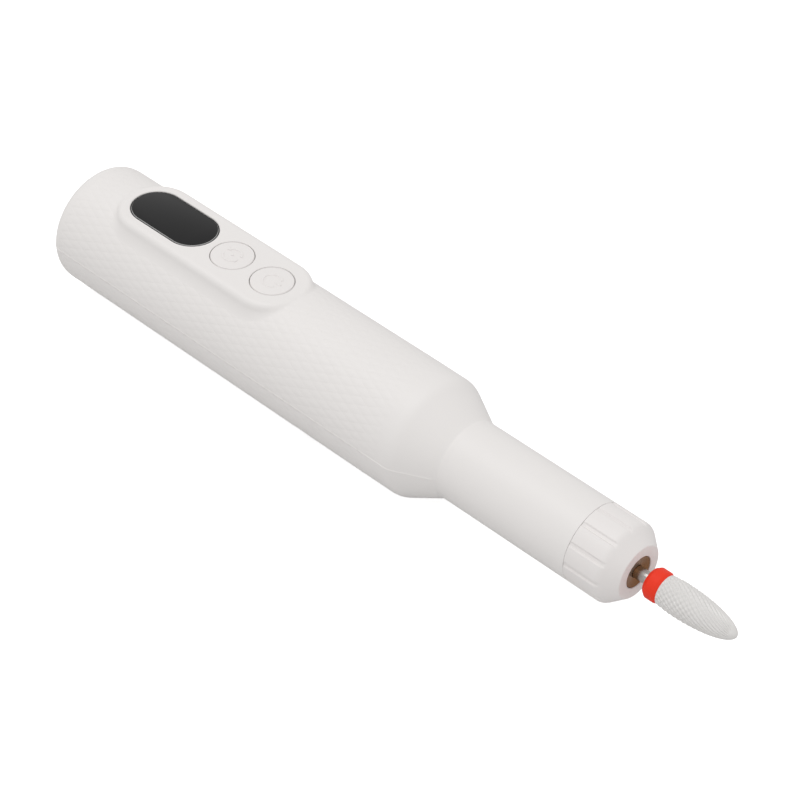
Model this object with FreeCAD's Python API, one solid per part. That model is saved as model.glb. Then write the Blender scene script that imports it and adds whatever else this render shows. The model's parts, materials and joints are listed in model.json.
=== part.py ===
import FreeCAD, Part
import math
import os

# Cordless electric nail drill with a twist-lock chuck and a ceramic bit.
# Lengths (mm) run along the tool from its rear face, which is at 0 here. Widths and heights are
# taken from the tool's axis. place() moves the finished pieces into the part's own frame:
# +X towards the bit, +Z through the display, origin under the middle of the whole tool.

# ------------------------------------------------------------------ driving dimensions
body_length = 137.0         # rear face to nose face
body_radius = 12.0
neck_radius = 7.85
neck_length = 29.3
shoulder_length = 7.7       # cone between body and neck
collar_length = 10.05
bit_reach = 21.0            # how far the bit stands out of the nose face
bit_length = 44.5
shank_radius = 1.175        # 3/32 inch shank

wall = 1.8
rear_wall = 2.0
neck_wall = 1.7
rear_rounding = 2.6
shoulder_rounding = 4.6
neck_rounding = 0.25
seam_gap = 0.15             # shell to nose collar
fit_gap = 0.05              # between pieces that don't move
run_gap = 0.08              # between pieces that slide or turn on each other
lip_height = 1.2
lip_thickness = 0.8

pad_rear_centre = 17.6      # centre of the control pad's rounded rear end, and of the display's
pad_half_width = 7.55
pad_rise = 0.1              # pad top above the body's highest line
pad_edge_rounding = 0.9
pad_side = 1.65

display_span = 9.55
display_radius = 5.1
display_ledge = 0.8         # how far the ledge reaches in under the lens
ledge_thickness = 0.5
gasket_thickness = 0.15
lens_bevel = 0.25
module_half_width = 3.8

button_radius = 4.13
control_spacing = 1.0       # between the display and the buttons' flanges
button_gap = 0.12
button_travel = 0.3
button_proud = 0.05
button_edge = 0.3
flange_reach = 0.5
flange_thickness = 0.7
press_room = 0.55           # left under a pressed button's flange
switch_size = 4.5
switch_height = 1.5
plunger_radius = 1.0
plunger_length = 0.8

cell_radius = 7.1           # 14500 size cell
cell_length = 50.5
cell_rear = 12.0
cell_gap = 0.5
tab_thickness = 0.2
chip_gap = 0.6              # chips to cell
board_thickness = 1.0
board_side_gap = 0.4
board_rear = 8.5
board_screw_rear = 11.3
board_post_radius = 1.6
board_end = 2.5             # from the front board screw to the board's end
post_radius = 1.9
post_inset = 1.5
head_post_radius = 2.6
rear_post_at = 5.5
front_post_offset = 2.7     # from the cell's front end
rib_thickness = 1.2

screw_radius = 0.85
screw_head_radius = 1.5
screw_head_height = 1.0
screw_length = 12.0
screw_seat = 6.2            # depth of the head's seat below the parting plane
small_screw_radius = 0.6
small_screw_head_radius = 1.2
small_screw_head_height = 0.8

port_width = 8.94           # USB type C receptacle
port_height = 3.26
port_depth = 7.3
port_recess = 0.3
port_sheet = 0.25
port_gap = 0.1
charge_board_gap = 0.3      # to the rear screw posts
charge_board_front = 9.0

motor_radius = 7.8
motor_length = 24.0
motor_inset = 2.15          # motor's front past the shoulder's rear edge
motor_cap_length = 2.0
can_sheet = 0.8
motor_shaft_radius = 1.0
cushion_width = 3.5
lead_radius = 0.4

bearing_bore = 2.5          # radii of a 5 x 9 x 3 mm ball bearing
bearing_outer = 4.5
bearing_width = 3.0
ball_radius = 0.6
ball_count = 9
race_gap = 0.02
spindle_tail_radius = 1.5
coupling_radius = 3.2
coupling_length = 7.5

collar_turn = 45.0          # degrees, closed to open
chuck_travel = 0.8
sleeve_radius = 3.0
sleeve_length = 7.0
sleeve_recess = 0.4         # chuck sleeve behind the nose face
sleeve_flange = 0.6
flange_length = 0.8
collet_radius = 2.0
collet_length = 24.9
collet_gap = 0.025
collet_slit = 0.4
spring_length = 3.6
spring_wire = 0.25
spring_turns = 3.5
release_length = 3.0
pin_radius = 0.6
pin_count = 3

nose_cone_length = 3.06
nose_face_radius = 5.2
nose_rounding = 3.3
nose_hole_gap = 0.15
nose_lip = 1.6
groove_count = 12
groove_width = 0.75
groove_depth = 0.35
groove_front_margin = 2.4   # grooves end this far behind the nose face
groove_turn = 2.0           # degrees from the parting plane to the first groove

shank_show = 2.75           # bare shank between the nose face and the bit's ring
ring_length = 3.0
ring_radius = 3.05
ring_rounding = 0.45
head_radius = 3.09
head_root_radius = 2.85
head_nose_length = 11.8     # widest place to tip
shank_in_head = 5.0

# ------------------------------------------------------------------ places worked out from them
collar_rear = body_length - collar_length
neck_front = collar_rear - seam_gap
shoulder_front = neck_front - neck_length
shoulder_rear = shoulder_front - shoulder_length
bore_radius = body_radius - wall
neck_bore = neck_radius - neck_wall

shoulder_fall = body_radius - neck_radius
shoulder_slant = math.hypot(shoulder_length, shoulder_fall)


def shoulder_inside(radius):
    """Place along the tool where the inside of the shoulder cone has this radius."""
    inner_rear = shoulder_rear - wall * shoulder_fall / shoulder_slant
    inner_radius = body_radius - wall * shoulder_length / shoulder_slant
    return inner_rear + (inner_radius - radius) * shoulder_length / shoulder_fall


pad_top = body_radius + pad_rise
pad_ceiling = pad_top - wall
pad_inner_half = pad_half_width - pad_side
display_front_centre = pad_rear_centre + display_span
ledge_top = pad_ceiling + ledge_thickness
lens_bottom = ledge_top + gasket_thickness
flange_radius = button_radius + button_gap + flange_reach
mode_at = display_front_centre + display_radius + control_spacing + flange_radius
power_at = mode_at + 2 * flange_radius + control_spacing
pad_front_centre = power_at

cell_front = cell_rear + cell_length
cell_z = -(bore_radius - cell_gap - cell_radius)
board_top = pad_ceiling - fit_gap - flange_thickness - button_travel - press_room - switch_height
board_bottom = board_top - board_thickness
chip_height = board_bottom - cell_z - cell_radius - chip_gap
board_screw_front = power_at + flange_radius + board_post_radius + 0.65
board_front = board_screw_front + board_end
board_half_width = math.sqrt((bore_radius - board_side_gap) ** 2 - board_top ** 2)
post_y = bore_radius - post_radius - post_inset
post_places = [(rear_post_at, post_y), (rear_post_at, -post_y),
               (cell_front + front_post_offset, post_y), (cell_front + front_post_offset, -post_y)]
charge_board_top = -port_height / 2
charge_board_bottom = charge_board_top - board_thickness
charge_board_half_width = post_y - post_radius - charge_board_gap

motor_front = shoulder_rear + motor_inset
motor_rear = motor_front - motor_length
shaft_front = motor_front + 5.5
magnet_inner = 5.6
magnet_outer = motor_radius - can_sheet - fit_gap
armature_radius = 5.3
commutator_radius = 2.4

tube_radius = neck_bore - fit_gap
tube_flange_radius = tube_radius + 0.35
tube_flange_front = shoulder_inside(tube_flange_radius + fit_gap)
tube_rear = tube_flange_front - 1.4
tube_front = body_length - 4.0
tube_passage = coupling_radius + 0.4
key_half_width = 0.8
rear_bearing_at = tube_rear + 9.2
front_bearing_at = collar_rear - 5.95
ball_orbit = (bearing_bore + bearing_outer) / 2
inner_race = ball_orbit - 0.4
outer_race = ball_orbit + 0.4
spindle_shoulder = inner_race - 0.1

sleeve_front = body_length - sleeve_recess
sleeve_rear = sleeve_front - sleeve_length
spindle_front = sleeve_rear - spring_length
sleeve_face = 0.7
collet_front = sleeve_front - sleeve_face - chuck_travel - 0.2
collet_rear = collet_front - collet_length
collet_cone_length = 1.7
collet_head_radius = collet_radius + 0.5
bit_rear = body_length + bit_reach - bit_length
ring_rear = body_length + shank_show
ring_front = ring_rear + ring_length
bit_tip = body_length + bit_reach
head_widest = bit_tip - head_nose_length

release_outer = bearing_outer - run_gap
release_bore = sleeve_radius + sleeve_flange + 0.15
release_lip = sleeve_rear + flange_length + 0.1
release_front = release_lip + 1.1
release_rear = release_front - release_length
pin_at = sleeve_rear + flange_length / 2
pin_tip = tube_radius + 0.85
collar_bore = tube_radius + run_gap
collar_bore_front = tube_front + 0.2
clip_at = tube_front - 1.1
clip_width = 0.45
nose_hole_radius = sleeve_radius + nose_hole_gap


# ------------------------------------------------------------------ shape helpers
def at(u, y=0.0, z=0.0):
    return FreeCAD.Vector(u, y, z)


def rod(start, end, radius, y=0.0, z=0.0):
    """Round bar along the tool."""
    return Part.makeCylinder(radius, end - start, at(start, y, z), at(1))


def post(u, y, low, high, radius):
    """Round bar standing up."""
    return Part.makeCylinder(radius, high - low, at(u, y, low), at(0, 0, 1))


def ring(start, end, inner, outer):
    return rod(start, end, outer).cut(rod(start - 1, end + 1, inner))


def block(u, y, z):
    """Box from three (low, high) pairs."""
    return Part.makeBox(u[1] - u[0], y[1] - y[0], z[1] - z[0], at(u[0], y[0], z[0]))


def stadium(rear, front, radius, low, high):
    """Standing prism with two round ends, centred on the given places."""
    ends = post(rear, 0, low, high, radius).fuse(post(front, 0, low, high, radius))
    return ends.fuse(block((rear, front), (-radius, radius), (low, high))).removeSplitter()


def slot_bar(start, end, width, height):
    """Bar along the tool with a flat oval section, centred on the axis."""
    half = (width - height) / 2
    sides = rod(start, end, height / 2, half).fuse(rod(start, end, height / 2, -half))
    middle = block((start, end), (-half, half), (-height / 2, height / 2))
    return sides.fuse(middle).removeSplitter()


def rounded_outline(corners):
    """Closed outline in the X-Y plane from (x, y, rounding) corners."""
    edges = []
    places = [at(x, y) for x, y, _ in corners]
    last = len(corners)
    starts = []
    ends = []
    for i, (_, _, rounding) in enumerate(corners):
        here = places[i]
        back = (places[i - 1] - here).normalize()
        on = (places[(i + 1) % last] - here).normalize()
        trim = rounding / math.tan(back.getAngle(on) / 2) if rounding else 0.0
        starts.append(here + back * trim)
        ends.append(here + on * trim)
        if rounding:
            middle = (back + on).normalize()
            depth = math.hypot(rounding, trim) - rounding
            edges.append(Part.Arc(starts[i], here + middle * depth, ends[i]).toShape())
    for i in range(last):
        if ends[i].distanceToPoint(starts[(i + 1) % last]) > 1e-6:
            edges.append(Part.LineSegment(ends[i], starts[(i + 1) % last]).toShape())
    return Part.Wire(Part.__sortEdges__(edges))


def turned(corners):
    """Solid of revolution about the tool's axis from (along, radius, rounding) corners."""
    return Part.Face(rounded_outline(corners)).revolve(at(0), at(1), 360)


def plain_turned(corners):
    return turned([(u, radius, 0) for u, radius in corners])


def lead(points, radius):
    """Insulated wire: straight runs joined by tangent arcs."""
    places = [at(*point) for point in points]
    edges = []
    start = places[0]
    for before, corner, after in zip(places, places[1:], places[2:]):
        back = before - corner
        on = after - corner
        trim = 0.45 * min(back.Length, on.Length)
        back = back.normalize()
        on = on.normalize()
        half = back.getAngle(on) / 2
        bend = trim * math.tan(half)
        middle = corner + (back + on).normalize() * (trim / math.cos(half) - bend)
        edges.append(Part.LineSegment(start, corner + back * trim).toShape())
        edges.append(Part.Arc(corner + back * trim, middle, corner + on * trim).toShape())
        start = corner + on * trim
    edges.append(Part.LineSegment(start, places[-1]).toShape())
    section = Part.Wire(Part.makeCircle(radius, places[0], places[1] - places[0]))
    return Part.Wire(edges).makePipeShell([section], True, False)


def around(shape, count, turn=0.0):
    """Copies of a shape turned evenly about the tool's axis."""
    copies = []
    for i in range(count):
        copy = shape.copy()
        copy.rotate(at(0), at(1), turn + 360.0 * i / count)
        copies.append(copy)
    return copies


def cut_all(shape, tools):
    return shape.cut(Part.makeCompound(tools))


def both_sides(shape):
    return [shape, shape.mirror(at(0), at(0, 1, 0))]


def screw(u, y, seat, length, radius, head_radius, head_height):
    """Pan-head screw driven upwards, with a cross recess in its head."""
    low = seat - head_height
    head = post(u, y, low, seat, head_radius)
    head = head.makeFillet(head_height * 0.4, [head.Edges[i] for i in range(3)
                                               if abs(head.Edges[i].BoundBox.ZMax - low) < 1e-6])
    shaft = post(u, y, seat, seat + length - radius, radius)
    point = Part.makeCone(radius, radius * 0.3, radius, at(u, y, seat + length - radius), at(0, 0, 1))
    arm = head_radius * 0.6
    slit = head_radius * 0.13
    cross = block((u - arm, u + arm), (y - slit, y + slit), (low - 1, low + head_height * 0.6))
    cross = cross.fuse(block((u - slit, u + slit), (y - arm, y + arm), (low - 1, low + head_height * 0.6)))
    return head.fuse([shaft, point]).removeSplitter().cut(cross)


# ------------------------------------------------------------------ housing
def body_outside():
    return turned([(0, 0, 0), (0, body_radius, rear_rounding),
                   (shoulder_rear, body_radius, shoulder_rounding),
                   (shoulder_front, neck_radius, neck_rounding),
                   (neck_front, neck_radius, 0.12), (neck_front, 0, 0)])


def body_inside():
    chamfer = 1.0
    return plain_turned([(rear_wall, 0), (rear_wall, bore_radius - chamfer),
                         (rear_wall + chamfer, bore_radius),
                         (shoulder_inside(bore_radius), bore_radius),
                         (shoulder_inside(neck_bore), neck_bore),
                         (neck_front + 1, neck_bore), (neck_front + 1, 0)])


def pad_block():
    pad = stadium(pad_rear_centre, pad_front_centre, pad_half_width, body_radius / 2, pad_top)
    rim = [edge for edge in pad.Edges if edge.BoundBox.ZMin > pad_top - 1e-6]
    return pad.makeFillet(pad_edge_rounding, rim)


def hollow_body():
    """Both shells as one piece, before the parting plane divides them."""
    shell = body_outside().fuse(pad_block()).cut(body_inside())
    pad_hollow = stadium(pad_rear_centre, pad_front_centre, pad_inner_half, 0, pad_ceiling)
    lens_seat = stadium(pad_rear_centre, display_front_centre, display_radius + fit_gap,
                        ledge_top, pad_top + 1)
    window = stadium(pad_rear_centre, display_front_centre, display_radius - display_ledge,
                     pad_ceiling - 1, pad_top + 1)
    holes = [post(u, 0, pad_ceiling - 1, pad_top + 1, button_radius + button_gap)
             for u in (mode_at, power_at)]
    port = slot_bar(-1, rear_wall + 1, port_width + 2 * port_gap, port_height + 2 * port_gap)
    return cut_all(shell, [pad_hollow, lens_seat, window, port] + holes)


def tube_stop():
    """Inner rib that keeps the spindle housing from moving back."""
    return ring(tube_rear - 1.1, tube_rear - 0.1, tube_radius - 1.0, bore_radius)


def lip(extra):
    """Inner half of the shells' lap joint. The lower shell has it and the upper makes room."""
    start = rear_wall + 1.2 - extra
    end = shoulder_inside(bore_radius) - 1 + extra
    strip = ring(start, end, bore_radius - extra, bore_radius + lip_thickness + extra)
    return strip.common(block((start, end), (-body_radius, body_radius), (-extra, lip_height + extra)))


def upper_shell():
    half = block((-1, body_length), (-20, 20), (0, 20))
    shell = hollow_body().common(half)
    posts = [post(u, y, 0, body_radius, post_radius) for u, y in post_places]
    posts += [post(u, 0, board_top, ledge_top - 0.2, board_post_radius)
              for u in (board_screw_rear, board_screw_front)]
    posts.append(tube_stop().common(half))
    shell = shell.fuse([item.common(body_outside()) for item in posts]).removeSplitter()
    pilots = [post(u, y, -1, screw_length - screw_seat + 0.6, screw_radius) for u, y in post_places]
    pilots += [post(u, 0, board_top - 1, pad_ceiling - 0.4, small_screw_radius)
               for u in (board_screw_rear, board_screw_front)]
    return cut_all(shell, pilots + [lip(fit_gap)])


def lower_shell():
    half = block((-1, body_length), (-20, 20), (-20, 0))
    shell = hollow_body().common(half)
    inside = []
    for u, y in post_places:
        inside.append(post(u, y, -body_radius, 0, post_radius))
        inside.append(post(u, y, -body_radius, -screw_seat + 1.0, head_post_radius))
    cell = rod(0, body_length, cell_radius + 0.1, 0, cell_z)
    for u in (cell_rear + 5, cell_rear + cell_length / 2, cell_front - 6):
        cradle = block((u, u + rib_thickness), (-body_radius, body_radius), (-body_radius, cell_z - 1.5))
        inside.append(cradle.cut(cell))
    for u in (rear_wall + 1.0, charge_board_front - rib_thickness):
        inside.append(block((u, u + rib_thickness), (-3.4, 3.4), (-body_radius, charge_board_bottom)))
    inside.append(tube_stop().common(half))
    key = block((tube_rear - 0.1, tube_flange_front), (-key_half_width, key_half_width),
                (-body_radius, -tube_radius + 0.6))
    inside.append(key)
    shell = shell.fuse([item.common(body_outside()) for item in inside] + [lip(0.0)]).removeSplitter()
    holes = [post(u, y, -body_radius - 1, 1, screw_radius + 0.1) for u, y in post_places]
    holes += [post(u, y, -body_radius - 1, -screw_seat, screw_head_radius + 0.15)
              for u, y in post_places]
    return cut_all(shell, holes)


def shell_screws():
    return Part.makeCompound([screw(u, y, -screw_seat, screw_length, screw_radius,
                                    screw_head_radius, screw_head_height) for u, y in post_places])


# ------------------------------------------------------------------ display and buttons
def display_lens():
    lens = stadium(pad_rear_centre, display_front_centre, display_radius, lens_bottom, pad_top)
    rim = [edge for edge in lens.Edges if edge.BoundBox.ZMin > pad_top - 1e-6]
    return lens.makeChamfer(lens_bevel, rim)


def display_gasket():
    outside = stadium(pad_rear_centre, display_front_centre, display_radius, ledge_top, lens_bottom)
    inside = stadium(pad_rear_centre, display_front_centre, display_radius - display_ledge + 0.1,
                     ledge_top - 1, lens_bottom + 1)
    return outside.cut(inside)


def display_module():
    top = pad_ceiling - 0.1
    case = block((pad_rear_centre - 4, display_front_centre + 4),
                 (-module_half_width, module_half_width), (board_top, top))
    window = block((pad_rear_centre - 3, display_front_centre + 3),
                   (-module_half_width + 0.8, module_half_width - 0.8), (top - 0.4, top + 1))
    return case.cut(window)


def button(u):
    top = pad_top + button_proud
    flange_top = pad_ceiling - fit_gap
    cap = post(u, 0, flange_top - 0.1, top, button_radius)
    rim = [edge for edge in cap.Edges if edge.BoundBox.ZMin > top - 1e-6]
    cap = cap.makeFillet(button_edge, rim)
    flange = post(u, 0, flange_top - flange_thickness, flange_top, flange_radius)
    stem = post(u, 0, plunger_top(), flange_top, plunger_radius + 0.3)
    return cap.fuse([flange, stem]).removeSplitter()


def plunger_top():
    return board_top + switch_height + 0.4


def plunger(u):
    return post(u, 0, plunger_top() - plunger_length, plunger_top(), plunger_radius)


def switch(u):
    half = switch_size / 2
    case = block((u - half, u + half), (-half, half), (board_top, board_top + switch_height))
    well = post(u, 0, plunger_top() - plunger_length - button_travel - 0.1,
                board_top + switch_height + 1, plunger_radius + 0.1)
    return case.cut(well)


# ------------------------------------------------------------------ electronics and cell
def control_board():
    board = block((board_rear, board_front), (-board_half_width, board_half_width),
                  (board_bottom, board_top))
    holes = [post(u, 0, board_bottom - 1, board_top + 1, small_screw_radius + 0.1)
             for u in (board_screw_rear, board_screw_front)]
    return cut_all(board, holes)


def board_parts():
    """Chips under the control board: (place along, across, length, width)."""
    chips = [(20.0, 3.2, 5.0, 4.0), (28.0, -3.6, 4.0, 3.0), (42.0, 3.4, 3.0, 3.0), (48.0, -3.0, 4.0, 3.6)]
    return Part.makeCompound([block((u, u + length), (y - width / 2, y + width / 2),
                                    (board_bottom - chip_height, board_bottom))
                              for u, y, length, width in chips])


def board_screws():
    length = pad_ceiling - 0.6 - board_bottom
    return Part.makeCompound([screw(u, 0, board_bottom, length, small_screw_radius,
                                    small_screw_head_radius, small_screw_head_height)
                              for u in (board_screw_rear, board_screw_front)])


def battery_cell():
    can = rod(cell_rear, cell_front - 1.0, cell_radius, 0, cell_z)
    edges = [edge for edge in can.Edges if edge.BoundBox.XLength < 1e-6]
    can = can.makeFillet(0.6, edges)
    cap = rod(cell_front - 1.2, cell_front, 2.6, 0, cell_z)
    return can.fuse(cap).removeSplitter()


def battery_tabs():
    rear = block((cell_rear - tab_thickness, cell_rear), (-2, 5.2), (cell_z - 2, cell_z + 3.6))
    front = block((cell_front, cell_front + tab_thickness), (-2, 2), (cell_z - 2, cell_z + 4.6))
    return Part.makeCompound([rear, front])


def battery_foam():
    middle = cell_rear + cell_length / 2
    pad = block((middle - 4, middle + 4), (-3.0, 1.2), (cell_z, board_bottom - chip_height - 0.1))
    return pad.cut(rod(0, body_length, cell_radius, 0, cell_z))


def battery_leads():
    bend_rear = cell_rear - 1.6
    bend_front = cell_front + 1.9
    middle = (board_bottom + board_top) / 2
    rear = lead([(cell_rear - tab_thickness, 4.2, 0), (bend_rear, 4.2, 0),
                 (bend_rear, 4.2, board_bottom)], lead_radius)
    front = lead([(cell_front + tab_thickness, 0, 0), (bend_front, 0, 0),
                  (bend_front, 0, middle), (board_front, 0, middle)], lead_radius)
    return Part.makeCompound([rear, front])


def charge_leads():
    middle = (charge_board_top + charge_board_bottom) / 2
    bend = cell_rear - 1.6
    one = lead([(charge_board_front, 2.2, middle), (bend, 2.2, middle),
                (bend, 2.2, board_bottom)], lead_radius)
    return Part.makeCompound(both_sides(one))


def motor_leads():
    middle = (board_bottom + board_top) / 2
    bend = (cell_front + motor_rear) / 2 + 0.6
    one = lead([(motor_rear, 3.4, 2.0), (bend, 3.4, 2.0), (bend, 3.4, middle),
                (board_front, 3.4, middle)], lead_radius)
    return Part.makeCompound(both_sides(one))


def charge_port():
    shell = slot_bar(port_recess, port_recess + port_depth, port_width, port_height)
    inside = slot_bar(port_recess - 1, port_recess + port_depth + 1,
                      port_width - 2 * port_sheet, port_height - 2 * port_sheet)
    return shell.cut(inside)


def charge_tongue():
    depth = port_recess + port_depth
    back = slot_bar(depth - 1.6, depth, port_width - 2 * port_sheet, port_height - 2 * port_sheet)
    tongue = block((port_recess + 0.7, depth - 1.0), (-3.3, 3.3), (-0.35, 0.35))
    return back.fuse(tongue).removeSplitter()


def charge_board():
    return block((rear_wall + 0.2, charge_board_front),
                 (-charge_board_half_width, charge_board_half_width),
                 (charge_board_bottom, charge_board_top))


# ------------------------------------------------------------------ motor
def motor_can():
    can = ring(motor_rear + motor_cap_length, motor_front, motor_radius - can_sheet, motor_radius)
    face = ring(motor_front - can_sheet, motor_front, 2.0, motor_radius)
    boss = ring(motor_front - can_sheet, motor_front + 1.2, 2.0, 3.0)
    return can.fuse([face, boss]).removeSplitter()


def motor_end_cap():
    cap = ring(motor_rear, motor_rear + motor_cap_length, 2.0, motor_radius)
    spigot = ring(motor_rear, motor_rear + motor_cap_length + 1.2, 5.2,
                  motor_radius - can_sheet - fit_gap)
    return cap.fuse(spigot).removeSplitter()


def motor_bushes():
    bore = motor_shaft_radius + 0.03
    return Part.makeCompound([ring(motor_rear, motor_rear + motor_cap_length, bore, 2.0),
                              ring(motor_front - can_sheet, motor_front + 1.2, bore, 2.0)])


def motor_magnets():
    tube = ring(motor_rear + 6, motor_front - 3, magnet_inner, magnet_outer)
    gap = block((motor_rear, motor_front), (-1.5, 1.5), (-motor_radius, motor_radius))
    return tube.cut(gap)


def motor_brushes():
    start = motor_rear + motor_cap_length + 0.6
    one = block((start, start + 1.6), (commutator_radius + 0.05, 5.1), (-0.9, 0.9))
    return Part.makeCompound(both_sides(one))


def commutator():
    drum = ring(motor_rear + motor_cap_length + 0.3, motor_rear + motor_cap_length + 3.0,
                motor_shaft_radius, commutator_radius)
    slit = block((0, body_length), (-0.12, 0.12), (commutator_radius - 0.4, commutator_radius + 1))
    return cut_all(drum, around(slit, 3))


def armature():
    core = ring(motor_rear + 7, motor_front - 4, motor_shaft_radius, armature_radius)
    slot = block((0, body_length), (-0.7, 0.7), (armature_radius - 2.6, armature_radius + 1))
    return cut_all(core, around(slot, 3))


def armature_windings():
    inner = armature_radius - 2.5
    one = block((motor_rear + 6.2, motor_front - 3.2), (-0.6, 0.6), (inner, armature_radius - 0.5))
    return Part.makeCompound(around(one, 3))


def motor_shaft():
    return rod(motor_rear + 0.4, shaft_front, motor_shaft_radius)


def motor_cushions():
    outer = bore_radius - fit_gap
    inner = motor_radius + fit_gap
    rear = ring(motor_rear + 2.5, motor_rear + 2.5 + cushion_width, inner, outer)
    front_end = shoulder_inside(bore_radius) - 1.5
    front = ring(front_end - cushion_width, front_end, inner, outer)
    return Part.makeCompound([rear, front])


# ------------------------------------------------------------------ spindle and bearings
def drive_coupling():
    start = shaft_front - 3.5
    body = rod(start, start + coupling_length, coupling_radius)
    bores = [rod(start - 1, shaft_front + 0.3, motor_shaft_radius),
             rod(shaft_front + 0.3, start + coupling_length + 1, spindle_tail_radius)]
    slit = block((start + 2.2, start + 2.6), (-coupling_radius, coupling_radius), (0.6, 5))
    cross_slit = block((start + 5.2, start + 5.6), (-coupling_radius, coupling_radius), (-5, -0.6))
    return cut_all(body, bores + [slit, cross_slit])


def spindle():
    tail = shaft_front + 0.5
    tail_end = rear_bearing_at - 1.0
    rear_end = rear_bearing_at + bearing_width
    shaft = plain_turned([(tail, 0), (tail, spindle_tail_radius), (tail_end, spindle_tail_radius),
                          (tail_end, bearing_bore), (rear_end, bearing_bore),
                          (rear_end, spindle_shoulder), (rear_end + 1.2, spindle_shoulder),
                          (rear_end + 1.2, bearing_bore), (front_bearing_at - 1.2, bearing_bore),
                          (front_bearing_at - 1.2, spindle_shoulder),
                          (front_bearing_at, spindle_shoulder), (front_bearing_at, bearing_bore),
                          (spindle_front, bearing_bore), (spindle_front, 0)])
    return shaft.cut(rod(collet_rear, spindle_front + 1, collet_radius))


def race(start, inner, outer):
    """Bearing ring with its half of the ball track."""
    track = Part.makeTorus(ball_orbit, ball_radius + race_gap, at(start + bearing_width / 2), at(1))
    return ring(start, start + bearing_width, inner, outer).cut(track)


def bearing_balls(start):
    ball = Part.makeSphere(ball_radius, at(start + bearing_width / 2, 0, ball_orbit))
    return Part.makeCompound(around(ball, ball_count))


def bearing_cage(start):
    middle = start + bearing_width / 2
    band = ring(middle - 1.1, middle + 1.1, inner_race + 0.15, outer_race - 0.15)
    pocket = Part.makeCylinder(ball_radius + race_gap, 3, at(middle, 0, ball_orbit - 1.5), at(0, 0, 1))
    return cut_all(band, around(pocket, ball_count))


def bearing_clip():
    start = front_bearing_at + bearing_width
    clip = ring(start, start + 0.6, outer_race - 0.2, bearing_outer + 0.35)
    return clip.cut(block((start - 1, start + 2), (-1.2, 1.2), (0, 6)))


def spindle_housing():
    tube = plain_turned([(tube_rear, tube_passage), (tube_rear, tube_flange_radius),
                         (tube_flange_front, tube_flange_radius), (tube_flange_front, tube_radius),
                         (tube_front, tube_radius), (tube_front, bearing_outer),
                         (rear_bearing_at, bearing_outer), (rear_bearing_at, tube_passage)])
    key_way = block((tube_rear - 1, tube_flange_front + fit_gap),
                    (-key_half_width - fit_gap, key_half_width + fit_gap),
                    (-tube_flange_radius - 1, -tube_radius + 0.6 + fit_gap))
    clip_groove = ring(front_bearing_at + bearing_width, front_bearing_at + bearing_width + 0.65,
                       0.1, bearing_outer + 0.4)
    collar_groove = ring(clip_at - 0.05, clip_at + clip_width + 0.05, tube_radius - 0.4, tube_radius + 1)
    half = pin_radius + fit_gap
    low = bearing_outer - 1
    high = tube_radius + 1
    slot = block((pin_at - chuck_travel, pin_at), (-half, half), (low, high))
    slot = slot.fuse([post(u, 0, low, high, half) for u in (pin_at - chuck_travel, pin_at)])
    return cut_all(tube, [key_way, clip_groove, collar_groove] + around(slot, pin_count))


# ------------------------------------------------------------------ chuck
def chuck_collet():
    grip = collet_front - collet_cone_length
    body = plain_turned([(collet_rear, 0), (collet_rear, collet_radius), (grip, collet_radius),
                         (collet_front, collet_head_radius), (collet_front, 0)])
    bore = rod(bit_rear - 0.5, collet_front + 1, shank_radius + collet_gap)
    slit = block((bit_rear + 4, collet_front + 1), (-collet_slit / 2, collet_slit / 2), (0, 4))
    return cut_all(body, [bore] + around(slit, 3))


def chuck_sleeve():
    """Brass sleeve whose cone squeezes the collet's jaws when it is forward."""
    grip = collet_front - collet_cone_length
    cone_gap = 0.08
    face_back = sleeve_front - sleeve_face
    return turned([(sleeve_rear, collet_radius + run_gap, 0),
                   (sleeve_rear, sleeve_radius + sleeve_flange, 0),
                   (sleeve_rear + flange_length, sleeve_radius + sleeve_flange, 0),
                   (sleeve_rear + flange_length, sleeve_radius, 0),
                   (sleeve_front, sleeve_radius, 0.2),
                   (sleeve_front, shank_radius + 0.22, 0.1),
                   (face_back, shank_radius + 0.22, 0),
                   (face_back, collet_head_radius + cone_gap, 0),
                   (collet_front, collet_head_radius + cone_gap, 0),
                   (grip, collet_radius + run_gap, 0)])


def chuck_spring():
    rise = spring_length - 2 * spring_wire - 0.1
    middle_radius = collet_radius + spring_wire + 0.35
    helix = Part.makeHelix(rise / spring_turns, rise, middle_radius)
    section = Part.Wire(Part.makeCircle(spring_wire, at(middle_radius, 0, 0), at(0, 1, 0)))
    coil = Part.Wire(helix).makePipeShell([section], True, True)
    coil.rotate(at(0), at(0, 1, 0), 90)
    coil.translate(at(spindle_front + spring_wire + 0.05))
    return coil


def release_ring():
    body = plain_turned([(release_rear, release_bore), (release_rear, release_outer),
                         (release_front, release_outer), (release_front, nose_hole_radius),
                         (release_lip, nose_hole_radius), (release_lip, release_bore)])
    hole = Part.makeCylinder(pin_radius, 4, at(pin_at, 0, release_bore - 1), at(0, 0, 1))
    return cut_all(body, around(hole, pin_count))


def release_pins():
    inner = release_bore + 0.05
    pin = Part.makeCylinder(pin_radius, pin_tip - inner, at(pin_at, 0, inner), at(0, 0, 1))
    return Part.makeCompound(around(pin, pin_count))


def collar_clip():
    clip = ring(clip_at, clip_at + clip_width, tube_radius - 0.35, tube_radius + 0.3)
    return clip.cut(block((clip_at - 1, clip_at + 2), (-1.5, 1.5), (0, 10)))


# ------------------------------------------------------------------ nose collar
def collar_outline(depth):
    """Outer shape of the nose collar, a given depth below its surface."""
    cone_rear = body_length - nose_cone_length
    return turned([(collar_rear, 0, 0), (collar_rear, neck_radius - depth, 0),
                   (cone_rear, neck_radius - depth, nose_rounding),
                   (body_length - depth, nose_face_radius - depth, 0.15),
                   (body_length - depth, 0, 0)])


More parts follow.
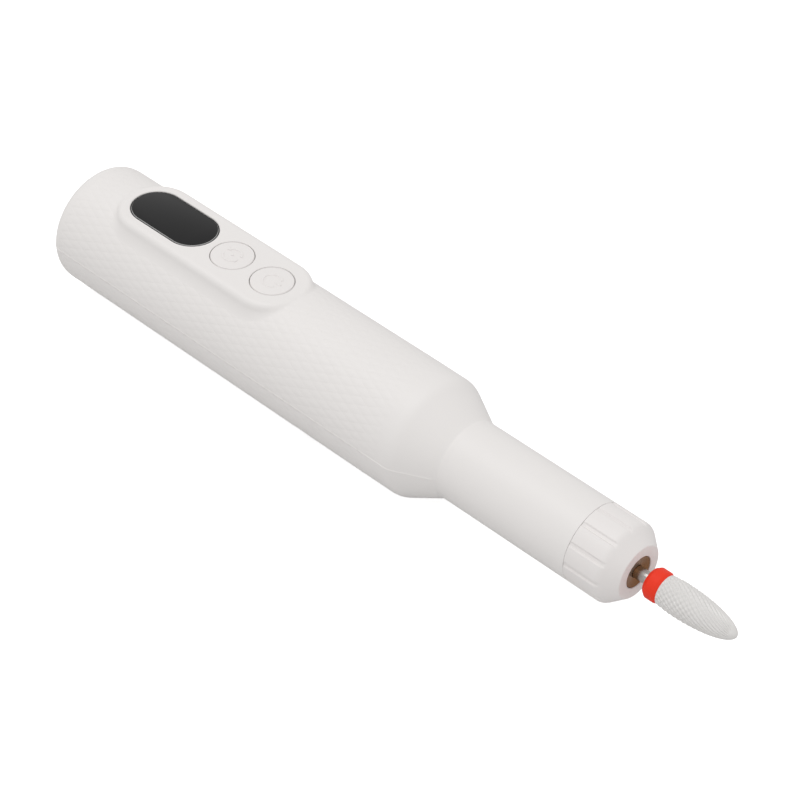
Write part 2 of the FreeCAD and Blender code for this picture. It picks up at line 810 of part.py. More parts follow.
def cam_slot():
    """Slanted slot in the collar's bore, with its straight way in from the rear edge."""
    steps = 18
    radius = pin_radius + run_gap
    low = tube_radius - 1
    height = pin_tip + 0.1 - low
    passes = []
    for i in range(steps + 1):
        share = i / steps
        one = Part.makeCylinder(radius, height, at(pin_at - chuck_travel * share, 0, low), at(0, 0, 1))
        one.rotate(at(0), at(1), -collar_turn * share)
        passes.append(one)
    way_in = block((collar_rear - 1, pin_at), (-radius, radius), (low, low + height))
    return way_in.fuse(passes)


def nose_collar():
    lip_rear = body_length - nose_lip
    inside = plain_turned([(collar_rear - 1, 0), (collar_rear - 1, collar_bore),
                           (collar_bore_front, collar_bore), (lip_rear, nose_hole_radius + 1.4),
                           (lip_rear, nose_hole_radius), (body_length + 1, nose_hole_radius),
                           (body_length + 1, 0)])
    clip_room = ring(clip_at - 0.1, clip_at + clip_width + 0.1, 1, tube_radius + 0.4)
    skin = collar_outline(0).cut(collar_outline(groove_depth))
    groove = skin.common(block((collar_rear, body_length - groove_front_margin),
                               (-groove_width / 2, groove_width / 2), (0, neck_radius + 1)))
    grooves = around(groove, groove_count, groove_turn - 90)
    return cut_all(collar_outline(0), [inside, clip_room] + grooves + around(cam_slot(), pin_count))


# ------------------------------------------------------------------ bit
def bit_shank():
    return turned([(bit_rear, 0, 0), (bit_rear, shank_radius, 0.2),
                   (ring_front + shank_in_head, shank_radius, 0), (ring_front + shank_in_head, 0, 0)])


def bit_ring():
    return turned([(ring_rear, shank_radius, 0), (ring_rear, ring_radius, ring_rounding),
                   (ring_front, ring_radius, ring_rounding), (ring_front, shank_radius, 0)])


def bit_head():
    """Ceramic burr body: a gentle swell, then half an ellipse to the tip."""
    middle = at((ring_front + head_widest) / 2, head_root_radius + 0.72 * (head_radius - head_root_radius))
    nose = Part.Ellipse(at(head_widest), head_nose_length, head_radius)
    edges = [Part.LineSegment(at(ring_front), at(ring_front, head_root_radius)).toShape(),
             Part.Arc(at(ring_front, head_root_radius), middle, at(head_widest, head_radius)).toShape(),
             Part.ArcOfEllipse(nose, 0, math.pi / 2).toShape(),
             Part.LineSegment(at(bit_tip), at(ring_front)).toShape()]
    outline = Part.Wire(Part.__sortEdges__(edges))
    head = Part.Face(outline).revolve(at(0), at(1), 360)
    return head.cut(rod(ring_front - 1, ring_front + shank_in_head, shank_radius))


# ------------------------------------------------------------------ all pieces
def pieces():
    rear = rear_bearing_at
    front = front_bearing_at
    return {
        "upper_shell": upper_shell(),
        "lower_shell": lower_shell(),
        "shell_screws": shell_screws(),
        "display_lens": display_lens(),
        "display_gasket": display_gasket(),
        "display_module": display_module(),
        "mode_button": button(mode_at),
        "power_button": button(power_at),
        "mode_plunger": plunger(mode_at),
        "power_plunger": plunger(power_at),
        "mode_switch": switch(mode_at),
        "power_switch": switch(power_at),
        "control_board": control_board(),
        "board_parts": board_parts(),
        "board_screws": board_screws(),
        "battery_cell": battery_cell(),
        "battery_tabs": battery_tabs(),
        "battery_foam": battery_foam(),
        "battery_leads": battery_leads(),
        "charge_leads": charge_leads(),
        "motor_leads": motor_leads(),
        "charge_port": charge_port(),
        "charge_tongue": charge_tongue(),
        "charge_board": charge_board(),
        "motor_can": motor_can(),
        "motor_end_cap": motor_end_cap(),
        "motor_bushes": motor_bushes(),
        "motor_magnets": motor_magnets(),
        "motor_brushes": motor_brushes(),
        "commutator": commutator(),
        "armature": armature(),
        "armature_windings": armature_windings(),
        "motor_shaft": motor_shaft(),
        "motor_cushions": motor_cushions(),
        "drive_coupling": drive_coupling(),
        "spindle": spindle(),
        "rear_bearing_outer": race(rear, outer_race, bearing_outer),
        "rear_bearing_inner": race(rear, bearing_bore, inner_race),
        "rear_bearing_balls": bearing_balls(rear),
        "rear_bearing_cage": bearing_cage(rear),
        "front_bearing_outer": race(front, outer_race, bearing_outer),
        "front_bearing_inner": race(front, bearing_bore, inner_race),
        "front_bearing_balls": bearing_balls(front),
        "front_bearing_cage": bearing_cage(front),
        "bearing_clip": bearing_clip(),
        "spindle_housing": spindle_housing(),
        "chuck_collet": chuck_collet(),
        "chuck_sleeve": chuck_sleeve(),
        "chuck_spring": chuck_spring(),
        "release_ring": release_ring(),
        "release_pins": release_pins(),
        "collar_clip": collar_clip(),
        "nose_collar": nose_collar(),
        "bit_shank": bit_shank(),
        "bit_ring": bit_ring(),
        "bit_head": bit_head(),
    }


def place(shape):
    """From the rear face and the axis to the part's own origin."""
    shape.translate(at(-(body_length + bit_reach) / 2, 0, body_radius))
    return shape


os.makedirs("parts", exist_ok=True)
for name, shape in pieces().items():
    if not shape.isValid() or not shape.Solids:
        raise ValueError("faulty piece: " + name)
    place(shape).exportStep("parts/" + name + ".step")
    print(name, len(shape.Solids), round(shape.Volume, 2))
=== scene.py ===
"""Fine shapes and finishes of a cordless electric nail drill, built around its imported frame.

Lengths are in millimetres and run along the tool from its rear face; widths and heights are taken
from the tool's axis. place() turns them into the frame's metres.
"""

import json
from math import atan2, ceil, cos, degrees, dist, hypot, pi, radians, sin, sqrt, tan

import bmesh
import bpy
from mathutils import Matrix, Vector
from mathutils.geometry import delaunay_2d_cdt


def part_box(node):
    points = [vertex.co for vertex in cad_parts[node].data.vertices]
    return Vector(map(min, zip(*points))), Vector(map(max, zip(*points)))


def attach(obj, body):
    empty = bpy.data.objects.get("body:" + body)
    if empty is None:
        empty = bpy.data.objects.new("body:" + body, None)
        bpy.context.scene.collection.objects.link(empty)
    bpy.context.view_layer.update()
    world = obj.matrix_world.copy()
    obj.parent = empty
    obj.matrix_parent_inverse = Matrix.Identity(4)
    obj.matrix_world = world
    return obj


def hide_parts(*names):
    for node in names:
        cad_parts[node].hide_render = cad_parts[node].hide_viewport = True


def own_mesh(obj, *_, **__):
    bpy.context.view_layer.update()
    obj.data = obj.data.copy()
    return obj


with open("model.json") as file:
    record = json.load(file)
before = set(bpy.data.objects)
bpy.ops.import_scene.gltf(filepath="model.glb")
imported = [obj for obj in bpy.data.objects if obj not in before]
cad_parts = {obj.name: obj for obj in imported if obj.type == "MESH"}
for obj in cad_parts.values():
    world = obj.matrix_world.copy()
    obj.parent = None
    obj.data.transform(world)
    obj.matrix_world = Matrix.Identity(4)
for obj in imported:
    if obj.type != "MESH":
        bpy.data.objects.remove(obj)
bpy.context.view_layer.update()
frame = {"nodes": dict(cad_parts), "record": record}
scene = bpy.context.scene
MM = 0.001


# ---- sizes read from the frame
def box_mm(node):
    low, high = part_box(node)
    return [c / MM for c in low], [c / MM for c in high]


shell_low, shell_high = box_mm("lower_shell")
rear = shell_low[0]
neck_front = shell_high[0] - rear
body_radius = (shell_high[1] - shell_low[1]) / 2
axis_height = shell_low[2] + body_radius


def extent(node):
    """A node's rear, front, half width, underside and top, from the tool's rear face and axis."""
    low, high = box_mm(node)
    half_width = (high[1] - low[1]) / 2
    return low[0] - rear, high[0] - rear, half_width, low[2] - axis_height, high[2] - axis_height


def centre_of(node):
    return sum(extent(node)[:2]) / 2


collar_rear, collar_front, neck_radius = extent("nose_collar")[:3]
pad_top = extent("upper_shell")[4]
lens_rear, lens_front, lens_radius, lens_bottom = extent("display_lens")[:4]
display_rear = lens_rear + lens_radius
display_front = lens_front - lens_radius
mode_at = centre_of("mode_button")
power_at = centre_of("power_button")
flange_radius = extent("mode_button")[2]
sleeve_rear, sleeve_front, sleeve_foot = extent("chuck_sleeve")[:3]
shank_front, shank_radius = extent("bit_shank")[1:3]
ring_rear, ring_front, ring_radius = extent("bit_ring")[:3]
bit_tip, head_radius = extent("bit_head")[1:3]

# ---- sizes of the visible shapes
wall = 1.8
rear_wall = 2.0
neck_bore = 6.15
port_gap = 0.1
rear_rounding = 2.6
shoulder_front = 97.5
shoulder_length = 7.7
shoulder_rounding = 4.6
bore_radius = body_radius - wall
part_line_width = 0.15
part_line_height = 0.1
part_line_margin = 0.9

post_radius = 1.9
head_post_radius = 2.6
screw_head_radius = 1.5
screw_head_hole_radius = 1.65
screw_hole_radius = 0.95
screw_seat = -6.2
pilot_radius = 0.85
pilot_top = 6.4

pad_rear = display_rear
pad_front = power_at
pad_half_width = 7.55
pad_rounding = 1.2
pad_blend = 1.4
pad_inner_half = 5.9
pad_ceiling = pad_top - wall
ledge_top = 10.8
display_ledge = 0.8

cap_radius = 4.13
cap_gap = 0.12
cap_top = pad_top + 0.05
cap_edge = 0.3
flange_top = pad_ceiling - 0.05
flange_thickness = 0.7
stem_radius = 1.3
mark_top = cap_top + 0.13
mark_foot = cap_top - 0.1
mark_radius = 1.8
mark_width = 0.42
arrow_sweep = 125

groove_count = 12
groove_width = 0.95
groove_depth = 0.3
groove_front_margin = 2.4
groove_turn = 2.0
nose_face_radius = 5.2
nose_cone_length = 3.06
nose_rounding = 1.7
nose_hole = 3.15
nose_lip = 1.6
collar_bore = 6.18
sleeve_bore = 2.08
chuck_travel = 0.8
collar_travel = radians(45.0)
slot_half_width = 0.68
slot_inner = 5.0
slot_outer = 7.05
pin_count = 3

tile_pitch = 4.264
tiles_around = 44
tile_height = 0.03
grip_rear = 2.7
grip_front = shoulder_front - shoulder_length - 1.3
screw_room = 3.2

head_root_radius = 2.85
head_nose_length = 11.8
flute_count = 24
flute_depth = 0.24
flute_lead = 33.0
notch_pitch = 1.05

# the studio, in metres
lamp_size = 0.5
floor_half = 6.0
floor_level = -0.0001


# ---- sums in node trees
class Value:
    """A number in a node tree, so that its sums can be written as sums."""

    def __init__(self, tree, socket):
        self.tree = tree
        self.socket = socket

    def math(self, operation, *others):
        node = self.tree.nodes.new("ShaderNodeMath")
        node.operation = operation
        for socket, value in zip(node.inputs, (self,) + others):
            feed(self.tree, socket, value)
        return Value(self.tree, node.outputs[0])

    def __add__(self, other):
        return self.math("ADD", other)

    def __sub__(self, other):
        return self.math("SUBTRACT", other)

    def __mul__(self, other):
        return self.math("MULTIPLY", other)

    def __truediv__(self, other):
        return self.math("DIVIDE", other)

    def __radd__(self, other):
        return self.math("ADD", other)

    def __rsub__(self, other):
        return Value(self.tree, constant(self.tree, other)).math("SUBTRACT", self)

    def __rtruediv__(self, other):
        return Value(self.tree, constant(self.tree, other)).math("DIVIDE", self)

    def __abs__(self):
        return self.math("ABSOLUTE")

    def __gt__(self, other):
        return self.math("GREATER_THAN", other)

    def __lt__(self, other):
        return self.math("LESS_THAN", other)

    def clamp(self, low, high):
        return self.math("MAXIMUM", low).math("MINIMUM", high)

    def smooth_step(self, low, high):
        node = add(self.tree, "ShaderNodeMapRange", value=self, from_min=low, from_max=high)
        node.interpolation_type = "SMOOTHSTEP"
        return Value(self.tree, node.outputs["Result"])


def constant(tree, number):
    node = tree.nodes.new("ShaderNodeValue")
    node.outputs[0].default_value = number
    return node.outputs[0]


def feed(tree, socket, value):
    if isinstance(value, Value):
        tree.links.new(value.socket, socket)
    elif isinstance(value, bpy.types.NodeSocket):
        tree.links.new(value, socket)
    else:
        socket.default_value = value


def fill(tree, node, inputs):
    """Gives a node's inputs their values or links, by names such as base_color."""
    for label, value in inputs.items():
        feed(tree, node.inputs[label.replace("_", " ").title().replace("Ior", "IOR")], value)
    return node


def add(tree, kind, **inputs):
    return fill(tree, tree.nodes.new(kind), inputs)


def split(tree, vector):
    node = add(tree, "ShaderNodeSeparateXYZ", vector=vector)
    return [Value(tree, output) for output in node.outputs]


def combine(tree, x, y, z):
    return Value(tree, add(tree, "ShaderNodeCombineXYZ", x=x, y=y, z=z).outputs[0])


def add_numbers(tree, numbers):
    """Named number inputs, from a dictionary of names and defaults."""
    for label, default in numbers.items():
        socket = tree.interface.new_socket(label, in_out="INPUT", socket_type="NodeSocketFloat")
        socket.default_value = default


def input_values(tree, numbers):
    entry = tree.nodes.new("NodeGroupInput")
    return {label: Value(tree, entry.outputs[label]) for label in numbers}, entry


def from_axis(y, z, level):
    """Height over the tool's axis and distance from it."""
    up = z - level
    return up, (y * y + up * up).math("SQRT")


# ---- shared surface effects
def effect_group(name, inputs, outputs):
    """An empty shader group with named number inputs and outputs."""
    tree = bpy.data.node_groups.new(name, "ShaderNodeTree")
    add_numbers(tree, inputs)
    for label in outputs:
        tree.interface.new_socket(label, in_out="OUTPUT", socket_type="NodeSocketFloat")
    values, _ = input_values(tree, inputs)
    return tree, values, tree.nodes.new("NodeGroupOutput").inputs


def object_place(tree):
    return tree.nodes.new("ShaderNodeTexCoord").outputs["Object"]


def noise(tree, vector, scale, detail=2.0, roughness=0.5):
    node = add(tree, "ShaderNodeTexNoise", vector=vector, scale=scale, detail=detail, roughness=roughness)
    return Value(tree, node.outputs["Fac"])


def moulded_grain():
    """Spark-eroded mould texture: fine bumps and slow changes of tone and gloss."""
    tree, value, leave = effect_group(
        "moulded_grain", {"Grain": 3500.0, "Flow": 55.0}, ["Height", "Tone", "Gloss"])
    here = object_place(tree)
    fine = noise(tree, here, value["Grain"], 3.0, 0.6)
    coarse = noise(tree, here, value["Grain"] * 0.31, 2.0)
    slow = noise(tree, here, value["Flow"], 3.0, 0.55)
    feed(tree, leave["Height"], fine * 0.7 + coarse * 0.3)
    feed(tree, leave["Tone"], (slow - 0.5) * 0.7 + (fine - 0.5) * 0.3)
    feed(tree, leave["Gloss"], (slow - 0.5) * 0.6 + (coarse - 0.5) * 0.4)
    return tree


def handling():
    """Where hands have rubbed and smudged a surface, from 0 to 1."""
    tree, value, leave = effect_group("handling", {"Size": 90.0, "Reach": 0.55}, ["Mask"])
    here = object_place(tree)
    patches = noise(tree, here, value["Size"], 4.0, 0.6)
    streaks = noise(tree, here, value["Size"] * 6.0, 2.0, 0.5)
    worn = (patches * 0.8 + streaks * 0.2).smooth_step(value["Reach"], value["Reach"] + 0.18)
    feed(tree, leave["Mask"], worn)
    return tree


def lathe_lines():
    """Fine rings left by turning about the tool's axis."""
    tree, value, leave = effect_group("lathe_lines", {"Fineness": 9000.0}, ["Height", "Gloss"])
    x, y, z = split(tree, object_place(tree))
    _, radius = from_axis(y, z, axis_height * MM)
    rings = noise(tree, combine(tree, x + radius * 0.7, radius * 0.02, 0.0), value["Fineness"], 2.0, 0.7)
    broad = noise(tree, combine(tree, x, radius, 0.0), value["Fineness"] * 0.12, 2.0, 0.6)
    feed(tree, leave["Height"], rings)
    feed(tree, leave["Gloss"], (rings - 0.5) * 0.6 + (broad - 0.5) * 0.6)
    return tree


def brushed_lines():
    """Straight grain along the tool, as on drawn wire, rolled strip and ground bars."""
    tree, value, leave = effect_group("brushed_lines", {"Fineness": 6000.0}, ["Height", "Gloss"])
    x, y, z = split(tree, object_place(tree))
    lines = noise(tree, combine(tree, x * 0.04, y, z), value["Fineness"], 2.0, 0.6)
    stains = noise(tree, object_place(tree), value["Fineness"] * 0.05, 3.0, 0.6)
    feed(tree, leave["Height"], lines)
    feed(tree, leave["Gloss"], (lines - 0.5) * 0.5 + (stains - 0.5) * 0.7)
    return tree


GRAIN = moulded_grain()
HANDLING = handling()
LATHE = lathe_lines()
BRUSHED = brushed_lines()
finishes = {}


class Finish:
    """One material, kept under its slot's name: a Principled shader fed by nodes."""

    def __init__(self, name, **uniform):
        material = bpy.data.materials.new(name)
        material.use_nodes = True
        finishes[name] = material
        self.tree = material.node_tree
        self.shader = self.tree.nodes["Principled BSDF"]
        fill(self.tree, self.shader, uniform)

    def place(self):
        return split(self.tree, object_place(self.tree))

    def effect(self, group, **inputs):
        node = self.tree.nodes.new("ShaderNodeGroup")
        node.node_tree = group
        fill(self.tree, node, inputs)
        return {output.name: Value(self.tree, output) for output in node.outputs}

    def colours(self, share, *stops):
        """Colour ramp from (place, (red, green, blue)) stops."""
        ramp = self.tree.nodes.new("ShaderNodeValToRGB")
        elements = ramp.color_ramp.elements
        while len(elements) < len(stops):
            elements.new(0.5)
        for element, (where, colour) in zip(elements, stops):
            element.position = where
            element.color = (*colour, 1.0)
        feed(self.tree, ramp.inputs[0], share)
        return ramp.outputs[0]

    def base(self, colour):
        feed(self.tree, self.shader.inputs["Base Color"], colour)

    def toned(self, colour, share, spread):
        """The colour, darker and lighter by the spread as the share goes from -0.5 to 0.5."""
        low = tuple(c * (1 - spread) for c in colour)
        high = tuple(min(1.0, c * (1 + spread)) for c in colour)
        self.base(self.colours(share + 0.5, (0.0, low), (1.0, high)))

    def rough(self, value):
        feed(self.tree, self.shader.inputs["Roughness"], value)

    def bump(self, height, distance_mm, strength=1.0):
        node = add(self.tree, "ShaderNodeBump", distance=distance_mm * MM, strength=strength, height=height)
        feed(self.tree, self.shader.inputs["Normal"], node.outputs["Normal"])


def moulded(name, colour, rough, grain=3500.0, depth=0.004, spread=0.015, worn=0.08, **uniform):
    """Moulded plastic or rubber with a fine mould texture, polished a little where it is held."""
    finish = Finish(name, **uniform)
    texture = finish.effect(GRAIN, grain=grain)
    rubbed = finish.effect(HANDLING)
    finish.toned(colour, texture["Tone"] - rubbed["Mask"] * 0.15, spread)
    finish.rough(texture["Gloss"] * 0.12 + rough - rubbed["Mask"] * worn)
    finish.bump(texture["Height"], depth)


def metal(name, lines_from, colour, rough, fineness=6000.0, depth=0.003, spread=0.08):
    """Bare metal with the fine lines of its making, dulled where it is handled."""
    finish = Finish(name, metallic=1.0)
    lines = finish.effect(lines_from, fineness=fineness)
    rubbed = finish.effect(HANDLING, size=260.0)
    finish.toned(colour, lines["Gloss"] - rubbed["Mask"] * 0.2, spread)
    finish.rough(lines["Gloss"] * 0.15 + rough + rubbed["Mask"] * 0.08)
    finish.bump(lines["Height"], depth)


def smoked_lens():
    """Polished smoked acrylic: nearly black, faintly wiped, with its ground chamfer painted pale grey as a
    painted highlight.
    """
    finish = Finish("lens_plastic", ior=1.36)
    smears = finish.effect(HANDLING, size=160.0, reach=0.5)
    texture = finish.effect(GRAIN, grain=900.0, flow=120.0)
    down = (axis_height + pad_top) * MM - finish.place()[2]
    # painted highlight: the ground chamfer just under the lens's top gets a pale grey base colour that stands
    # in for the light its polished edge catches
    painted_bevel_highlight = down.smooth_step(0.01 * MM, 0.04 * MM) - down.smooth_step(0.15 * MM, 0.18 * MM)
    finish.base(finish.colours(
        texture["Tone"] * 0.03 + painted_bevel_highlight * 0.9 + 0.05, (0.0, (0.007, 0.007, 0.0075)),
        (0.12, (0.01, 0.01, 0.0105)), (1.0, (0.42, 0.42, 0.42))))
    finish.rough(smears["Mask"] * 0.05 + texture["Gloss"] * 0.03 + 0.09)
    finish.bump(texture["Height"], 0.004, 0.12)


def burr_ceramic():
    """Fired zirconia: white, a little translucent looking, greyer in the ground gullets."""
    finish = Finish("ceramic", ior=1.8)
    texture = finish.effect(GRAIN, grain=5200.0, flow=300.0)
    x, y, z = finish.place()
    _, radius = from_axis(y, z, axis_height * MM)
    ground = noise(finish.tree, combine(finish.tree, x, radius * 3.0, 0.0), 2600.0, 2.0)
    finish.toned((0.76, 0.745, 0.73), texture["Tone"] * 0.7 + (ground - 0.5) * 0.4, 0.07)
    finish.rough(texture["Gloss"] * 0.15 + 0.34)
    finish.bump(texture["Height"], 0.006)


def solder_mask():
    """Green laminate with copper tracks showing through the mask."""
    finish = Finish("board_laminate", coat_weight=0.3, coat_roughness=0.15)
    texture = finish.effect(GRAIN, grain=2400.0, flow=400.0)
    x, y, _ = finish.place()
    lanes = y * 2200.0 + noise(finish.tree, combine(finish.tree, x, 0.0, 0.0), 300.0) * 3.0
    tracks = lanes.math("SINE").smooth_step(0.55, 0.75)
    finish.base(finish.colours(
        tracks * 0.8 + texture["Tone"] * 0.2, (0.0, (0.018, 0.14, 0.065)),
        (0.5, (0.03, 0.2, 0.09)), (1.0, (0.07, 0.3, 0.13))))
    finish.rough(texture["Gloss"] * 0.2 + 0.38)
    finish.bump(tracks, 0.03)


def shrink_sleeve():
    """Plain blue heat shrink over a cell: soft wrinkles and a slight sheen."""
    finish = Finish("cell_sleeve", coat_weight=0.4, coat_roughness=0.2)
    texture = finish.effect(GRAIN, grain=1500.0, flow=180.0)
    lines = finish.effect(BRUSHED, fineness=1500.0)
    finish.toned((0.09, 0.26, 0.5), texture["Tone"] + lines["Gloss"] * 0.3, 0.12)
    finish.rough(texture["Gloss"] * 0.25 + 0.33)
    finish.bump(texture["Height"] * 0.6 + lines["Height"] * 0.4, 0.02)


def open_foam():
    """Dark open foam: cells of about a third of a millimetre, with painted shade darkening each cell's
    hollow.
    """
    finish = Finish("foam")
    cells = add(finish.tree, "ShaderNodeTexVoronoi", scale=3000.0, vector=object_place(finish.tree))
    depth = Value(finish.tree, cells.outputs["Distance"])
    # painted shade: the base colour darkens with the cell depth that the bump also uses, darkest at the
    # bottom of each hollow
    finish.base(finish.colours(depth, (0.0, (0.03, 0.03, 0.03)), (0.7, (0.15, 0.15, 0.15))))
    finish.rough(depth * 0.1 + 0.85)
    finish.bump(depth, 0.15)


def enamelled_copper():
    """Copper wire wound side by side, seen as close raised windings along the tool, with painted shade in the
    grooves between turns.
    """
    finish = Finish("copper", metallic=1.0)
    _, y, z = finish.place()
    ridges_and_shade = ((y + z) * 18000.0).math("SINE")
    lines = finish.effect(BRUSHED, fineness=4000.0)
    # painted shade: the tone follows the winding height, lighter on each turn's crest and darker in the
    # grooves between turns
    finish.toned((0.72, 0.33, 0.16), lines["Gloss"] + ridges_and_shade * 0.2, 0.2)
    finish.rough(lines["Gloss"] * 0.15 + 0.3)
    finish.bump(ridges_and_shade * 0.5 + 0.5, 0.03)


def make_finishes():
    """Every finish of the record."""
    moulded("shell_plastic", (0.85, 0.826, 0.812), 0.46)
    moulded("collar_plastic", (0.85, 0.82, 0.808), 0.42, depth=0.003)
    moulded("button_plastic", (0.85, 0.823, 0.81), 0.42, depth=0.0025)
    smoked_lens()
    moulded("dark_plastic", (0.035, 0.035, 0.038), 0.5, spread=0.15)
    solder_mask()
    shrink_sleeve()
    metal("nickel", BRUSHED, (0.7, 0.67, 0.62), 0.3)
    open_foam()
    moulded("black_rubber", (0.025, 0.025, 0.026), 0.62, 2500.0, 0.008, 0.2)
    moulded("wire_red", (0.55, 0.035, 0.03), 0.42, 2500.0, 0.005, 0.1)
    metal("steel", LATHE, (0.5, 0.49, 0.475), 0.2, 9000.0)
    metal("zinc_steel", BRUSHED, (0.6, 0.6, 0.6), 0.36)
    metal("ball_steel", BRUSHED, (0.7, 0.7, 0.7), 0.08, 3000.0, 0.0005, 0.03)
    metal("spring_steel", BRUSHED, (0.42, 0.42, 0.43), 0.3)
    metal("port_steel", BRUSHED, (0.66, 0.65, 0.63), 0.3)
    moulded("magnet", (0.06, 0.06, 0.062), 0.55, 2800.0, 0.01, 0.25, ior=1.9)
    metal("core_steel", LATHE, (0.36, 0.35, 0.34), 0.42, 5000.0, 0.02, 0.2)
    enamelled_copper()
    metal("bronze", LATHE, (0.6, 0.4, 0.2), 0.42, 6000.0, 0.006, 0.15)
    moulded("carbon", (0.03, 0.03, 0.03), 0.6, 4200.0, 0.01, 0.3, ior=2.0)
    # brass: its own warm tone, but darkened far below bright brass as painted shade for the shaded nose hole
    # it sits in
    metal("brass", LATHE, (0.25, 0.11, 0.04), 0.26, 8000.0, 0.004, 0.22)
    metal("aluminium", LATHE, (0.74, 0.74, 0.74), 0.3, 7000.0, 0.004, 0.06)
    moulded("red_plastic", (0.88, 0.04, 0.013), 0.5, 2600.0, 0.012, 0.09, ior=1.33)
    burr_ceramic()


# ---- meshes
def place(u, y, z):
    return Vector(((rear + u) * MM, y * MM, (axis_height + z) * MM))


def put(name, data):
    """A new object in the scene."""
    item = bpy.data.objects.new(name, data)
    scene.collection.objects.link(item)
    return item


def new_piece(name, points, faces, sharp_degrees=35.0):
    """A closed mesh from points in tool millimetres, its doubles merged and its faces outwards."""
    mesh = bpy.data.meshes.new(name)
    mesh.from_pydata([place(*point) for point in points], [], faces)
    return settled(put(name, mesh), sharp_degrees)


def settled(piece, sharp_degrees=35.0, merge_mm=0.002):
    """Merges doubles, points the faces outwards and shades everything smooth but real edges."""
    shape = bmesh.new()
    shape.from_mesh(piece.data)
    bmesh.ops.remove_doubles(shape, verts=shape.verts, dist=merge_mm * MM)
    bmesh.ops.dissolve_degenerate(shape, edges=shape.edges, dist=merge_mm * 0.5 * MM)
    bmesh.ops.recalc_face_normals(shape, faces=shape.faces)
    shape.to_mesh(piece.data)
    shape.free()
    piece.data.polygons.foreach_set("use_smooth", [True] * len(piece.data.polygons))
    piece.data.set_sharp_from_angle(angle=radians(sharp_degrees))
    return piece


def rounded_line(corners, longest=1e9, arc_degrees=7.0):
    """Line through (along, across, rounding) corners, with an arc at each rounded one."""
    places = [Vector(corner[:2]) for corner in corners]
    line = [places[0]]
    for i in range(1, len(corners) - 1):
        back = (places[i - 1] - places[i]).normalized()
        on = (places[i + 1] - places[i]).normalized()
        rounding = corners[i][2]
        half = back.angle(on) / 2
        if not rounding or half > radians(89.9):
            line.append(places[i])
            continue
        trim = rounding / tan(half)
        middle = places[i] + (back + on).normalized() * (rounding / sin(half))
        first = places[i] + back * trim - middle
        last = places[i] + on * trim - middle
        sweep = atan2(first.x * last.y - first.y * last.x, first.dot(last))
        steps = max(2, ceil(degrees(abs(sweep)) / arc_degrees))
        for j in range(steps + 1):
            line.append(middle + Matrix.Rotation(sweep * j / steps, 2) @ first)
    line.append(places[-1])
    fine = [line[0]]
    for a, b in zip(line, line[1:]):
        parts = max(1, ceil((b - a).length / longest))
        fine += [a.lerp(b, k / parts) for k in range(1, parts + 1)]
    return fine


def arc_path(u, y, radius, start, end, steps=28):
    turns = [radians(start + (end - start) * i / steps) for i in range(steps + 1)]
    return [(u + radius * cos(turn), y + radius * sin(turn)) for turn in turns]


def strips(rows, count, closed=False):
    """Four-cornered faces between neighbouring rows of points, each given by its first point."""
    return [(a + j, a + (j + 1) % count, b + (j + 1) % count, b + j)
            for a, b in rows for j in range(count if closed else count - 1)]


def turned(name, corners, steps=96, longest=1e9):
    """Solid of revolution about the tool's axis, from an outline that is closed or ends on the axis."""
    line = rounded_line(corners, longest)
    points = []
    for i in range(steps):
        turn = 2 * pi * i / steps
        points += [(p.x, p.y * sin(turn), p.y * cos(turn)) for p in line]
    count = len(line)
    rows = [(i * count, (i + 1) % steps * count) for i in range(steps)]
    return new_piece(name, points, strips(rows, count))


def stadium_loop(rear_at, front_at, radius, steps=24):
    """Points and outward directions round a two-ended oval, one (u, y, nu, ny) each."""
    loop = []
    for centre, start in ((front_at, -90.0), (rear_at, 90.0)):
        for i in range(steps + 1):
            turn = radians(start + 180.0 * i / steps)
            out = cos(turn), sin(turn)
            loop.append((centre + radius * out[0], radius * out[1], *out))
    return loop


def straight_filled(loop, longest):
    """The same loop with points added along its long straight sides."""
    filled = []
    for a, b in zip(loop, loop[1:] + loop[:1]):
        parts = max(1, ceil(dist(a[:2], b[:2]) / longest))
        filled += [tuple(p + (q - p) * k / parts for p, q in zip(a, b)) for k in range(parts)]
    return filled


def ring_stack(name, rings, sharp_degrees=35.0):
    """Closed mesh through rings of equal point counts, capped at both ends."""
    count = len(rings[0])
    points = [point for loop in rings for point in loop]
    faces = [tuple(reversed(range(count))), tuple(range(len(points) - count, len(points)))]
    faces += strips([(i * count, (i + 1) * count) for i in range(len(rings) - 1)], count, True)
    return new_piece(name, points, faces, sharp_degrees)


def upright(name, rear_at, front_at, levels, steps=24, sharp_degrees=35.0):
    """Standing oval or round solid from (radius, height) levels."""
    rings = [[(u, y, height) for u, y, _, _ in stadium_loop(rear_at, front_at, radius, steps)]
             for radius, height in levels]
    return ring_stack(name, rings, sharp_degrees)


def plain(piece):
    """Keeps the result of a piece's modifiers as its mesh."""
    evaluated = piece.evaluated_get(bpy.context.evaluated_depsgraph_get())
    mesh = bpy.data.meshes.new_from_object(evaluated)
    piece.modifiers.clear()
    old, piece.data = piece.data, mesh
    bpy.data.meshes.remove(old)


def combined(piece, tools, operation):
    """Cuts the tools out of a piece, or joins them to it, and removes them."""
    for tool in tools:
        step = piece.modifiers.new("step", "BOOLEAN")
        step.operation = operation
        step.solver = "MANIFOLD"
        step.object = tool
    plain(piece)
    for tool in tools:
        bpy.data.objects.remove(tool)
    return piece


# ---- housing shells
def body_line(longest=2.0):
    """Outline of the housing from the rear face's centre to the neck's front end."""
    return rounded_line([
        (0, 0, 0), (0, body_radius, rear_rounding),
        (shoulder_front - shoulder_length, body_radius, shoulder_rounding),
        (shoulder_front, neck_radius, 0.5), (neck_front, neck_radius, 0.05),
        (neck_front, neck_bore - 1, 0)], longest)


